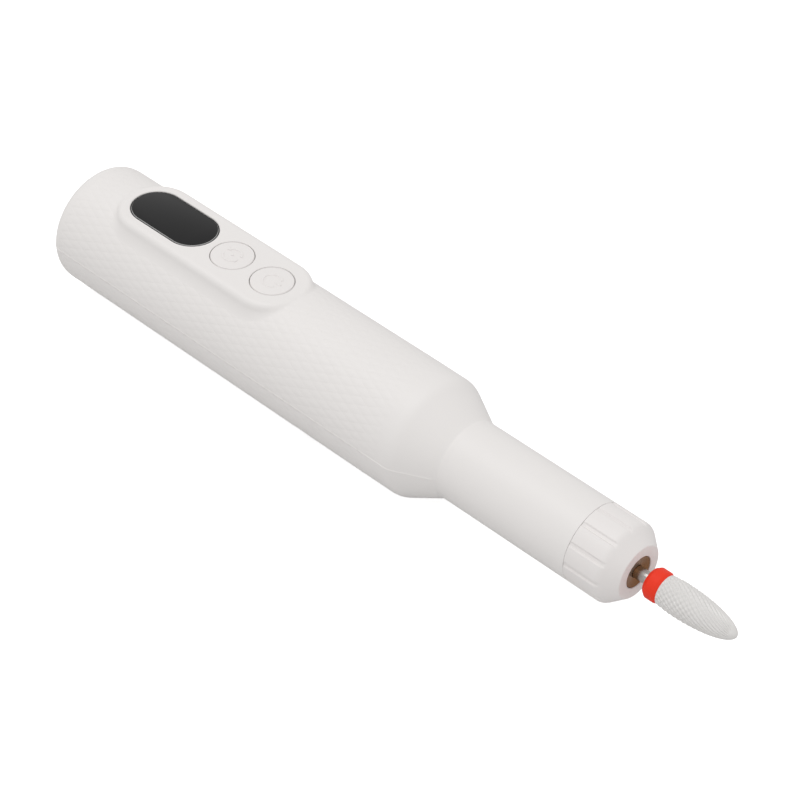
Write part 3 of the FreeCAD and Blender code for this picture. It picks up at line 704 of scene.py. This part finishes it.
def skin_point(spot, arc, side):
    """Point of the skin an arc away from the parting line, which stands out as a fine bead."""
    half_round = spot.y * pi
    arc = min(arc, half_round)
    edge = min(arc, half_round - arc)
    bead = 0.0
    if spot.y > neck_radius + 0.5:
        bead = part_line_height * max(0.0, 1 - edge / part_line_width)
    radius = spot.y + bead
    turn = arc / spot.y if spot.y > 1e-6 else 0.0
    return (spot.x, radius * cos(turn), side * radius * sin(turn))


def arc_rows(step):
    """Distances from the parting line over the top of the body, closer together at its edges."""
    whole = pi * body_radius
    edge = [part_line_width * share for share in (0.0, 0.5, 1, 2)] + [part_line_margin]
    span = whole - 2 * part_line_margin
    count = ceil(span / step)
    between = [part_line_margin + span * i / count for i in range(1, count)]
    return edge + between + [whole - value for value in reversed(edge)]


def pad_height(d, z, u, y):
    """Below 0 inside the body and its pad, which meet in a soft hollow blend."""
    step = pad_top - sqrt(max(0.0, body_radius ** 2 - y * y))
    blend = min(max(0.5 * step, 0.02), pad_blend)
    body = hypot(y, z) - body_radius
    across = d + pad_rounding
    above = z - (pad_top - pad_rounding)
    pad = hypot(max(across, 0), max(above, 0)) + min(max(across, above), 0) - pad_rounding
    hollow = hypot(max(blend - body, 0), max(blend - pad, 0))
    return max(blend, min(body, pad)) - hollow


def pad_profile(u, y, nu, ny, inner, outer, count):
    """Points over the pad's edge, from its flat top down to the body."""
    def body_at(d):
        return sqrt(body_radius ** 2 - (y + ny * d) ** 2)

    low = min(body_at(outer) + 0.5, pad_top - 1.5)
    first = pi / 2
    last = atan2(body_at(outer) - low, outer - inner)
    profile = []
    for i in range(count + 1):
        turn = first + (last - first) * i / count
        near, far = 0.0, 8.0
        for _ in range(36):
            reach = (near + far) / 2
            d = inner + reach * cos(turn)
            z = low + reach * sin(turn)
            if pad_height(d, z, u + nu * d, y + ny * d) < 0:
                near = reach
            else:
                far = reach
        d = inner + near * cos(turn)
        profile.append((u + nu * d, y + ny * d, low + near * sin(turn)))
    return profile


def lower_skin():
    """Half of the body under the parting line, solid."""
    line = body_line()
    rows = [arc / (pi * body_radius) for arc in arc_rows(1.3)]
    points = [skin_point(spot, share * pi * spot.y, -1) for share in rows for spot in line]
    count = len(line)
    faces = strips([(i * count, (i + 1) * count) for i in range(len(rows) - 1)], count)
    last = len(points) - count
    faces.append(tuple(range(count)) + tuple(range(last + count - 1, last - 1, -1)))
    faces.append(tuple(range(count - 1, len(points), count)))
    return new_piece("lower_shell_skin", points, faces, 30.0)


def upper_skin():
    """Half of the body over the parting line, solid, with the control pad blended in."""
    line = body_line(1.2)
    whole = pi * body_radius
    inner, outer, count = -1.4, 1.75, 24
    stations = straight_filled(stadium_loop(pad_rear, pad_front, pad_half_width, 44), 0.8)
    band = [pad_profile(*station, inner, outer, count) for station in stations]
    points = [point for profile in band for point in profile]
    size = count + 1
    faces = strips([(i * size, (i + 1) % len(band) * size) for i in range(len(band))], size)
    faces.append(tuple(range(0, len(points), size)))

    run = [0.0]
    for a, b in zip(line, line[1:]):
        run.append(run[-1] + (b - a).length)
    straight = next(i for i, spot in enumerate(line) if spot.x > rear_rounding - 1e-6)
    shift = run[straight] - line[straight].x
    flat = [Vector((u + shift, body_radius * atan2(z, y))) for *_, (u, y, z) in band]
    hole = list(reversed(range(len(flat))))
    owners = [None] * len(flat)
    for i, spot in enumerate(line):
        for arc in arc_rows(1.1):
            centre = min(max(run[i] - shift, pad_rear), pad_front) + shift
            cross = body_radius * cos(arc / body_radius)
            away = hypot(run[i] - centre, cross) - pad_half_width
            if away > outer + 0.25 or run[i] < shift:
                flat.append(Vector((run[i], arc)))
                owners.append((i, arc))
    places, _, triangles, sources, _, holes = delaunay_2d_cdt(flat, [], [hole], 0, 1e-7)
    start = len(points)
    for at, source in zip(places, sources):
        owner = next((owners[s] for s in source if owners[s]), None)
        if owner:
            spot = line[owner[0]]
            points.append(skin_point(spot, owner[1] / whole * pi * spot.y, 1))
        else:
            turn = at.y / body_radius
            points.append((at.x - shift, body_radius * cos(turn), body_radius * sin(turn)))
    faces += [tuple(start + i for i in triangle)
              for triangle, inside in zip(triangles, holes) if not inside]
    return flat_closed(new_piece("upper_shell_skin", points, faces, 30.0))


def flat_closed(piece):
    """Closes a half shell with one flat face along the parting line and one over its front end."""
    shape = bmesh.new()
    shape.from_mesh(piece.data)
    level = axis_height * MM
    rim, end = [], []
    for edge in shape.edges:
        if edge.is_boundary:
            flat = all(abs(corner.co.z - level) < 1e-8 for corner in edge.verts)
            (rim if flat else end).append(edge)
    corners = {corner for edge in end for corner in edge.verts if abs(corner.co.z - level) < 1e-8}
    across = shape.edges.new(sorted(corners, key=lambda corner: corner.co.y))
    for edges in (rim, end):
        bmesh.ops.edgeloop_fill(shape, edges=edges + [across])
    bmesh.ops.recalc_face_normals(shape, faces=shape.faces)
    shape.to_mesh(piece.data)
    shape.free()
    return piece


def bore():
    """The space inside the housing."""
    slant = hypot(shoulder_length, body_radius - neck_radius)
    fall = (body_radius - neck_radius) / shoulder_length
    inner_rear = shoulder_front - shoulder_length - wall * (body_radius - neck_radius) / slant
    inner_radius = body_radius - wall * shoulder_length / slant
    bend_rear = inner_rear + (inner_radius - bore_radius) / fall
    bend_front = inner_rear + (inner_radius - neck_bore) / fall
    return turned("bore", [
        (rear_wall, 0, 0), (rear_wall, bore_radius - 1, 0), (rear_wall + 1, bore_radius, 0),
        (bend_rear, bore_radius, 0), (bend_front, neck_bore, 0),
        (neck_front + 2, neck_bore, 0), (neck_front + 2, 0, 0)])


def port_slot():
    low, high = box_mm("charge_port")
    half_height = (high[2] - low[2]) / 2 + port_gap
    reach = (high[1] - low[1]) / 2 + port_gap - half_height
    ends = [(y, z) for y, z, _, _ in stadium_loop(-reach, reach, half_height, 12)]
    return ring_stack("port", [[(u, y, z) for y, z in ends] for u in (-1.0, rear_wall + 1)])


def screw_places():
    """Centres of the four shell screws, found from their node's box."""
    first, last, half_width = extent("shell_screws")[:3]
    across = half_width - screw_head_radius
    return [(u, y) for u in (first + screw_head_radius, last - screw_head_radius)
            for y in (-across, across)]


def rods(low, high, radius):
    """An upright rod at each shell screw."""
    circles = [arc_path(u, y, radius, 0, 348, 29) for u, y in screw_places()]
    return [ring_stack("rod", [[(u, y, height) for u, y in circle] for height in (low, high)])
            for circle in circles]


def posts(low, high, radius):
    """Rods at the shell screws that end halfway through the housing's wall."""
    reach = body_radius - wall / 2
    core = [(0.5, 0, 0), (0.5, reach, 1.5), (neck_front - 1, reach, 0), (neck_front - 1, 0, 0)]
    return [combined(rod, [turned("core", core)], "INTERSECT") for rod in rods(low, high, radius)]


def make_upper_shell():
    shell = upper_skin()
    seat, ledge = lens_radius + 0.05, lens_radius - display_ledge
    hole = cap_radius + cap_gap
    openings = [
        (pad_rear, pad_front, [(pad_inner_half, 0.0), (pad_inner_half, pad_ceiling)]),
        (display_rear, display_front, [(seat, ledge_top), (seat, pad_top - 0.12),
                                       (seat + 0.15, pad_top + 0.02), (seat + 0.15, pad_top + 1)]),
        (display_rear, display_front, [(ledge, pad_ceiling - 1), (ledge, ledge_top + 1)])]
    for u in (mode_at, power_at):
        openings.append((u, u, [(hole, pad_ceiling - 1), (hole, pad_top - 0.1),
                                (hole + 0.12, pad_top + 0.02), (hole + 0.12, pad_top + 1)]))
    tools = [upright("opening", *opening) for opening in openings]
    combined(shell, [bore(), port_slot()] + tools, "DIFFERENCE")
    combined(shell, posts(0.0, body_radius, post_radius), "UNION")
    combined(shell, rods(-1.0, pilot_top, pilot_radius), "DIFFERENCE")
    return settled(shell, 30.0, 0.0005)


def make_lower_shell():
    shell = lower_skin()
    combined(shell, [bore(), port_slot()], "DIFFERENCE")
    combined(shell, posts(-body_radius, 0.0, post_radius)
             + posts(-body_radius, screw_seat + 1, head_post_radius), "UNION")
    combined(shell, rods(-body_radius - 1, 1.0, screw_hole_radius)
             + rods(-body_radius - 1, screw_seat, screw_head_hole_radius), "DIFFERENCE")
    return settled(shell, 30.0, 0.0005)


# ---- Geometry Nodes
def node_tree(name, numbers):
    """A geometry tree with named number inputs, and a material input for its last node."""
    tree = bpy.data.node_groups.new(name, "GeometryNodeTree")
    tree.interface.new_socket("Geometry", in_out="INPUT", socket_type="NodeSocketGeometry")
    add_numbers(tree, numbers)
    tree.interface.new_socket("Finish", in_out="INPUT", socket_type="NodeSocketMaterial")
    tree.interface.new_socket("Geometry", in_out="OUTPUT", socket_type="NodeSocketGeometry")
    return tree, *input_values(tree, numbers)


def end_tree(tree, entry, geometry):
    """Realize Instances and Set Material, then the group's output."""
    real = add(tree, "GeometryNodeRealizeInstances", geometry=geometry)
    coat = add(tree, "GeometryNodeSetMaterial", geometry=real.outputs[0], material=entry.outputs["Finish"])
    add(tree, "NodeGroupOutput", geometry=coat.outputs[0])


def grown(piece, tree, numbers, slot):
    """Runs a geometry tree on a piece and keeps the result as its plain mesh."""
    modifier = piece.modifiers.new("grow", "NODES")
    modifier.node_group = tree
    for item in tree.interface.items_tree:
        if item.item_type == "SOCKET" and item.in_out == "INPUT":
            if item.name in numbers:
                modifier[item.identifier] = float(numbers[item.name])
            elif item.name == "Finish":
                modifier[item.identifier] = finishes[slot]
    plain(piece)


def position(tree):
    return split(tree, tree.nodes.new("GeometryNodeInputPosition").outputs[0])


def moved(tree, geometry, x, y, z):
    node = add(tree, "GeometryNodeSetPosition", geometry=geometry, position=combine(tree, x, y, z))
    return node.outputs["Geometry"]


def pressed(tree, entry, x, y, up, radius, depth):
    """Ends a tree that presses its geometry towards the tool's axis."""
    shrink = 1.0 - depth / radius.math("MAXIMUM", 1e-5)
    level = Value(tree, entry.outputs["Axis Height"])
    end_tree(tree, entry, moved(tree, entry.outputs["Geometry"], x, y * shrink, up * shrink + level))
    return tree


def diamond_tree(numbers):
    """Raised diamonds in staggered rows round the grip, left out at the control pad and the screws."""
    tree, size, entry = node_tree("grip_diamonds", numbers)
    body, pitch, side, rear_end, front_end = [
        size[label] for label in ("Body Radius", "Pitch", "Side", "Rear", "Front")]
    rows = ((front_end - rear_end) / pitch * 2).math("CEIL") + 1
    per_row = (size["Around"] / 2).math("CEIL") + 1
    index = Value(tree, tree.nodes.new("GeometryNodeInputIndex").outputs[0])
    row = (index / per_row).math("FLOOR")
    column = index - row * per_row
    arc_pitch = body * 2 * pi / size["Around"]
    stagger = row.math("MODULO", 2.0) * 0.5
    along = rear_end + row * pitch * 0.5
    arc = (column + stagger) * arc_pitch
    spots = add(tree, "GeometryNodePoints", count=rows * per_row, position=combine(tree, along, arc, 0.0))

    tile = add(tree, "GeometryNodeMeshCube", size=(2.0, 2.0, 2.0), vertices_x=5, vertices_y=5)
    i, j, k = position(tree)
    ring = abs(i).math("MAXIMUM", abs(j))
    top = k > 0.0
    edge = ring > 0.75
    middle = ring < 0.25
    reach = 0.98 + top * (1.0 - edge) * 0.5
    height = top * size["Height"] * (1.0 - edge * 1.1 - middle * 0.2) - (1.0 - top) * 0.12
    shaped = moved(tree, tile.outputs["Mesh"], (i + j) * reach * pitch * 0.25,
                   (i - j) * reach * arc_pitch * 0.25, height)

    u, a, _ = position(tree)
    nearest = u.clamp(size["Pad Rear"], size["Pad Front"])
    cross = body * (a / body).math("COSINE")
    away = ((u - nearest) * (u - nearest) + cross * cross).math("SQRT")
    on_pad = (away < size["Pad Half Width"]) * (side > 0.0)
    behind = abs(u - size["Screw Rear"]).math("MINIMUM", abs(u - size["Screw Front"]))
    aside = abs(cross) - size["Screw Across"]
    gap = (behind * behind + aside * aside).math("SQRT")
    on_screw = (gap < size["Screw Room"]) * (side < 0.0)
    spread_out = add(tree, "GeometryNodeInstanceOnPoints", points=spots.outputs[0], instance=shaped,
                     selection=1.0 - on_pad - on_screw)
    real = add(tree, "GeometryNodeRealizeInstances", geometry=spread_out.outputs[0])

    u, a, h = position(tree)
    ends = u.clamp(rear_end, front_end)
    fade = u.smooth_step(front_end - 7.0, front_end - 1.0)
    h = h - fade * size["Height"] * 1.3 - abs(u - ends).smooth_step(0.0, 0.3) * 0.1
    margin = 0.22
    turn = a.clamp(margin, body * pi - margin) / body
    radius = (body + h) * MM
    wrapped = moved(tree, real.outputs[0], ends * MM + size["Rear Place"], radius * turn.math("COSINE"),
                    radius * turn.math("SINE") * side + size["Axis Height"] * MM)
    weld = add(tree, "GeometryNodeMergeByDistance", geometry=wrapped, distance=2e-7)
    end_tree(tree, entry, weld.outputs[0])
    return tree


def make_diamonds():
    """The grip's diamonds on the upper shell and on the lower one."""
    (screw_rear, _), *_, (screw_front, screw_across) = screw_places()
    numbers = {"Body Radius": body_radius, "Pitch": tile_pitch, "Around": tiles_around, "Rear": grip_rear,
               "Front": grip_front, "Height": tile_height, "Side": 1.0, "Pad Rear": pad_rear,
               "Pad Front": pad_front, "Pad Half Width": pad_half_width, "Screw Rear": screw_rear,
               "Screw Front": screw_front, "Screw Across": screw_across, "Screw Room": screw_room,
               "Rear Place": rear * MM, "Axis Height": axis_height}
    tree = diamond_tree(numbers)
    for name, side in (("upper_grip", 1.0), ("lower_grip", -1.0)):
        piece = put(name, bpy.data.meshes.new(name))
        grown(piece, tree, {**numbers, "Side": side}, "shell_plastic")
        yield settled(piece, 25.0, 0.0002)


def groove_tree(numbers):
    """Soft grooves pressed along a turned collar, evenly about the axis."""
    tree, size, entry = node_tree("collar_grooves", numbers)
    x, y, z = position(tree)
    up, radius = from_axis(y, z, size["Axis Height"])
    turn = y.math("ARCTAN2", up) - size["Turn"]
    sector = 2 * pi / size["Count"]
    share = (turn / sector + 100.5).math("FRACT") - 0.5
    off = abs(share) * sector * radius
    inside = 1.0 - off.smooth_step(size["Width"] * 0.28, size["Width"] * 0.56)
    along = x.smooth_step(size["Start"], size["Start"] + size["Run Out"])
    along = along - x.smooth_step(size["End"] - size["Run Out"], size["End"])
    skin = radius > size["Skin Radius"]
    return pressed(tree, entry, x, y, up, radius, inside * along * skin * size["Depth"])


def swept_bar(name, rings):
    """Bar through rings of (along, radius, turn) about the tool's axis."""
    return ring_stack(name, [[(u, r * sin(turn), r * cos(turn)) for u, r, turn in ring]
                             for ring in rings])


def cam_slot(start):
    """Slanted slot in the collar's bore and its straight way in, as swept bars."""
    pin_at = centre_of("release_pins")
    half, inner, outer = slot_half_width, slot_inner, slot_outer
    slant = []
    steps = 16
    for i in range(-3, steps + 4):
        u = pin_at - chuck_travel * min(max(i / steps, 0), 1)
        turn = start + collar_travel * i / steps
        slant.append([(u - half, inner, turn), (u + half, inner, turn),
                      (u + half, outer, turn), (u - half, outer, turn)])
    side = half / inner
    way = [[(u, inner, start - side), (u, inner, start + side),
            (u, outer, start + side * 0.7), (u, outer, start - side * 0.7)]
           for u in (collar_rear - 1, pin_at)]
    return [swept_bar("slot", slant), swept_bar("way", way)]


def make_collar():
    lip = collar_front - nose_lip
    seam = neck_front + 0.06
    collar = turned("nose_collar_skin", [
        (seam, collar_bore, 0), (seam, neck_radius, 0.05),
        (collar_front - nose_cone_length, neck_radius, nose_rounding),
        (collar_front, nose_face_radius, 0.3), (collar_front, nose_hole, 0.12),
        (lip, nose_hole, 0), (lip, nose_hole + 1.4, 0), (collar_front - 3.8, collar_bore, 0),
        (seam, collar_bore, 0)], 540, 0.35)
    numbers = {"Count": groove_count, "Width": groove_width * MM, "Depth": groove_depth * MM,
               "Turn": radians(groove_turn), "Start": (rear + collar_rear - 0.4) * MM,
               "End": (rear + collar_front - groove_front_margin) * MM, "Run Out": 0.9 * MM,
               "Skin Radius": (collar_bore + 0.3) * MM, "Axis Height": axis_height * MM}
    grown(collar, groove_tree(numbers), numbers, "collar_plastic")
    slots = [bar for i in range(pin_count) for bar in cam_slot(2 * pi * i / pin_count)]
    combined(collar, slots, "DIFFERENCE")
    return settled(collar, 32.0, 0.0005)


def make_sleeve():
    """Brass chuck sleeve: its dished face nearly fills the nose hole and closes round the shank."""
    face = collar_front - 0.12
    lip = sleeve_front - 0.7
    outer = nose_hole - 0.07
    eye = shank_radius + 0.07
    foot_front = sleeve_rear + 0.8
    return turned("brass_sleeve", [
        (sleeve_rear, sleeve_bore, 0), (sleeve_rear, sleeve_foot, 0), (foot_front, sleeve_foot, 0),
        (foot_front, outer, 0), (face, outer, 0.06), (face - 0.3, eye, 0.1), (lip, eye, 0),
        (lip, sleeve_bore + 0.5, 0), (lip - 1.0, sleeve_bore + 0.5, 0), (lip - 2.7, sleeve_bore, 0),
        (sleeve_rear, sleeve_bore, 0)], 120)


# ---- display and buttons
def make_lens():
    edge = [(0, 0.3), (0.16, 0.2), (0.18, 0.18), (0.3, 0.01), (0.33, 0)]
    levels = [(lens_radius - inset, pad_top - drop) for inset, drop in edge]
    return upright("lens_glass", display_rear, display_front, [(lens_radius, lens_bottom)] + levels, 40, 25.0)


def make_button(name, u, plunger):
    """Cap with a rounded rim and a flat top, on its flange and stem."""
    flange_bottom = flange_top - flange_thickness
    levels = [(stem_radius, extent(plunger)[4]), (stem_radius, flange_bottom), (flange_radius, flange_bottom),
              (flange_radius, flange_top), (cap_radius, flange_top), (cap_radius, cap_top - cap_edge)]
    for degrees in range(15, 91, 15):
        turn = radians(degrees)
        levels.append((cap_radius - cap_edge * (1 - cos(turn)), cap_top - cap_edge * (1 - sin(turn))))
    return upright(name, u, u, levels, 40, 30.0)


def ribbon(path):
    """Flat raised line with soft edges that follows a path of (u, y) points on a button."""
    low, high, half, soft = mark_foot, mark_top, mark_width / 2, mark_width * 0.3
    rings = []
    for i, (u, y) in enumerate(path):
        before, after = path[max(i - 1, 0)], path[min(i + 1, len(path) - 1)]
        along = Vector((after[0] - before[0], after[1] - before[1])).normalized()
        rings.append([(u - along.y * w, y + along.x * w, z) for w, z in (
            (-half, low), (half, low), (half, high - soft * 0.4), (half - soft, high),
            (soft - half, high), (-half, high - soft * 0.4))])
    return ring_stack("ribbon", rings)


def joined(name, pieces):
    """One object from several separate closed meshes."""
    shape = bmesh.new()
    for piece in pieces:
        shape.from_mesh(piece.data)
        bpy.data.objects.remove(piece)
    mesh = bpy.data.meshes.new(name)
    shape.to_mesh(mesh)
    shape.free()
    return settled(put(name, mesh), 40.0, 0.0005)


def make_power_mark():
    """Raised power sign: a broken ring and a stroke."""
    stroke = ribbon([(power_at + 0.7, 0), (power_at + mark_radius + 0.4, 0)])
    return joined("power_mark", [ribbon(arc_path(power_at, 0, mark_radius, 38, 322)), stroke])


def make_mode_mark():
    """Raised turning arrows round a dot."""
    shapes = []
    for start in (20, 200):
        shapes.append(ribbon(arc_path(mode_at, 0, mark_radius, start, start + arrow_sweep)))
        tip = radians(start + arrow_sweep)
        out = Vector((cos(tip), sin(tip)))
        centre = Vector((mode_at, 0)) + out * mark_radius
        corners = [centre + out * 0.5, centre - out * 0.5, centre + Vector((-out.y, out.x)) * 0.75]
        shapes.append(ring_stack("head", [[(c.x, c.y, z) for c in corners] for z in (mark_foot, mark_top)]))
    dot = [(0.3, mark_foot), (0.3, mark_top - 0.03), (0.2, mark_top)]
    shapes.append(upright("dot", mode_at, mode_at, dot, 12))
    return joined("mode_mark", shapes)


# ---- bit
def make_ring():
    outer = ring_radius - 0.06
    return turned("ring_band", [
        (ring_rear, shank_radius, 0), (ring_rear, outer - 0.5, 0.12), (ring_rear + 0.7, outer, 0.25),
        (ring_front - 0.6, outer, 0.2), (ring_front, outer - 0.3, 0.1), (ring_front, shank_radius, 0),
        (ring_rear, shank_radius, 0)], 120)


def teeth_tree(numbers):
    """Ground teeth of a burr: slanted flutes, notched across, fading out at the round tip."""
    tree, size, entry = node_tree("burr_teeth", numbers)
    x, y, z = position(tree)
    up, radius = from_axis(y, z, size["Axis Height"])
    turn = y.math("ARCTAN2", up) / (2 * pi)
    along = x - size["Root"]
    length = size["Tip"] - size["Root"]
    phase = (turn + along / size["Lead"]) * size["Flutes"] + 200.0
    saw = phase.math("FRACT")
    flute = saw.smooth_step(0.0, 0.62) - saw.smooth_step(0.72, 1.0)
    cross = (turn * size["Flutes"] * 0.5 - along / size["Notch Pitch"] + 200.0).math("FRACT")
    notch = 1.0 - abs(cross - 0.5).smooth_step(0.1, 0.34)
    share = along / length
    rough_end = 1.0 - share.smooth_step(0.25, 0.8)
    outside = (radius > 0.0013) * (along > 2e-5)
    fade = outside * (1.0 - share.smooth_step(0.88, 0.99)) * share.smooth_step(0.0, 0.03)
    depth = size["Depth"] * fade * ((1.0 - flute) * 0.75 + notch * rough_end * 0.45)
    return pressed(tree, entry, x, y, up, radius, depth)


def make_head():
    """Burr body: a gentle swell, then half an ellipse to the tip, with a hole for the shank."""
    widest = bit_tip - head_nose_length
    root = ring_front + 0.1
    line = [(shank_front, 0.0), (shank_front, shank_radius), (ring_front, shank_radius),
            (ring_front, head_root_radius - 0.1), (root, head_root_radius)]
    steps = 40
    for i in range(1, steps + 1):
        swell = (head_radius - head_root_radius) * sin(pi / 2 * i / steps)
        line.append((root + (widest - root) * i / steps, head_root_radius + swell))
    for turn in [pi / 2 * i / 110 for i in range(1, 111)]:
        line.append((widest + head_nose_length * sin(turn), head_radius * cos(turn)))
    head = turned("head_burr", [(u, r, 0) for u, r in line], flute_count * 14)
    numbers = {"Flutes": flute_count, "Depth": flute_depth * MM, "Lead": flute_lead * MM,
               "Notch Pitch": notch_pitch * MM, "Root": (rear + ring_front) * MM,
               "Tip": (rear + bit_tip) * MM, "Axis Height": axis_height * MM}
    grown(head, teeth_tree(numbers), numbers, "ceramic")
    return settled(head, 50.0, 0.0005)


# ---- camera, light and floor
def make_camera():
    """Looks down on the tool from ahead of it and to one side."""
    stand = Vector((243.68, -269.03, 325.21)) * MM
    target = Vector((-0.71, 3.20, 12.0)) * MM
    lean = radians(2.763)
    ahead = (target - stand).normalized()
    across = ahead.cross(Vector((0, 0, 1))).normalized()
    upward = across.cross(ahead)
    side = across * cos(lean) + upward * sin(lean)
    top = upward * cos(lean) - across * sin(lean)
    data = bpy.data.cameras.new("camera")
    data.lens = 120.31
    data.sensor_width = 36.0
    data.clip_start = 0.01
    camera = put("camera", data)
    camera.matrix_world = Matrix.Translation(stand) @ Matrix((side, top, -ahead)).transposed().to_4x4()
    scene.camera = camera


def soft_box(name, where, power):
    """A square lamp that faces the tool's middle."""
    data = bpy.data.lights.new(name, "AREA")
    data.size = lamp_size
    data.energy = power
    lamp = put(name, data)
    lamp.location = where
    lamp.rotation_euler = (-Vector(where)).to_track_quat("-Z", "Y").to_euler()


def make_studio():
    world = bpy.data.worlds.new("studio")
    world.use_nodes = True
    backdrop = world.node_tree.nodes["Background"]
    backdrop.inputs["Color"].default_value = (1.0, 0.995, 0.99, 1.0)
    backdrop.inputs["Strength"].default_value = 0.76
    scene.world = world
    soft_box("key", (-0.25, -0.15, 0.75), 1.22)
    soft_box("fill", (0.55, -0.35, 0.5), 0.34)

    paper = Finish("floor_paper", base_color=(0.7, 0.7, 0.7, 1.0), emission_color=(1.0, 1.0, 1.0, 1.0))
    tree = paper.tree
    paper.rough(noise(tree, object_place(tree), 6.0, 2.0) * 0.1 + 0.85)
    ray = tree.nodes.new("ShaderNodeLightPath")
    feed(tree, paper.shader.inputs["Emission Strength"], Value(tree, ray.outputs["Is Camera Ray"]) * 0.75)
    mesh = bpy.data.meshes.new("floor")
    corners = ((-1, -1), (1, -1), (1, 1), (-1, 1))
    mesh.from_pydata([(x * floor_half, y * floor_half, floor_level) for x, y in corners], [], [(0, 1, 2, 3)])
    mesh.materials.append(finishes["floor_paper"])
    put("floor", mesh)
    scene.view_settings.view_transform = "Standard"


# ---- putting it together
def dress(piece, body, slot, *nodes):
    """Gives a new piece its finish and body, and hides the CAD nodes that it stands for."""
    piece.data.materials.clear()
    piece.data.materials.append(finishes[slot])
    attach(piece, body)
    if nodes:
        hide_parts(*nodes)


def dress_nodes():
    """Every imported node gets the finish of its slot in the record."""
    for part in frame["record"]["subparts"]:
        piece = frame["nodes"][part.get("node") or part["name"]]
        piece.data.materials.clear()
        piece.data.materials.append(finishes[part["material_slot"]])


def squash_spring():
    """Gives the chuck spring its own copy of its mesh."""
    low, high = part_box("chuck_spring")
    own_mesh(frame["nodes"]["chuck_spring"], "chuck_slide", axis=(1, 0, 0),
              anchor=(low[0], 0, axis_height * MM), keep=1 - chuck_travel * MM / (high[0] - low[0]))


make_camera()
make_studio()
make_finishes()
dress_nodes()

dress(make_upper_shell(), "housing", "shell_plastic", "upper_shell")
dress(make_lower_shell(), "housing", "shell_plastic", "lower_shell")
for diamonds in make_diamonds():
    dress(diamonds, "housing", "shell_plastic")
dress(make_lens(), "housing", "lens_plastic", "display_lens")
for button, at in (("mode", mode_at), ("power", power_at)):
    dress(make_button(f"{button}_cap", at, f"{button}_plunger"), f"{button}_button", "button_plastic",
          f"{button}_button")
dress(make_mode_mark(), "mode_button", "button_plastic")
dress(make_power_mark(), "power_button", "button_plastic")
dress(make_collar(), "collar", "collar_plastic", "nose_collar")
dress(make_sleeve(), "chuck_sleeve", "brass", "chuck_sleeve")
dress(make_ring(), "bit", "red_plastic", "bit_ring")
dress(make_head(), "bit", "ceramic", "bit_head")
squash_spring()
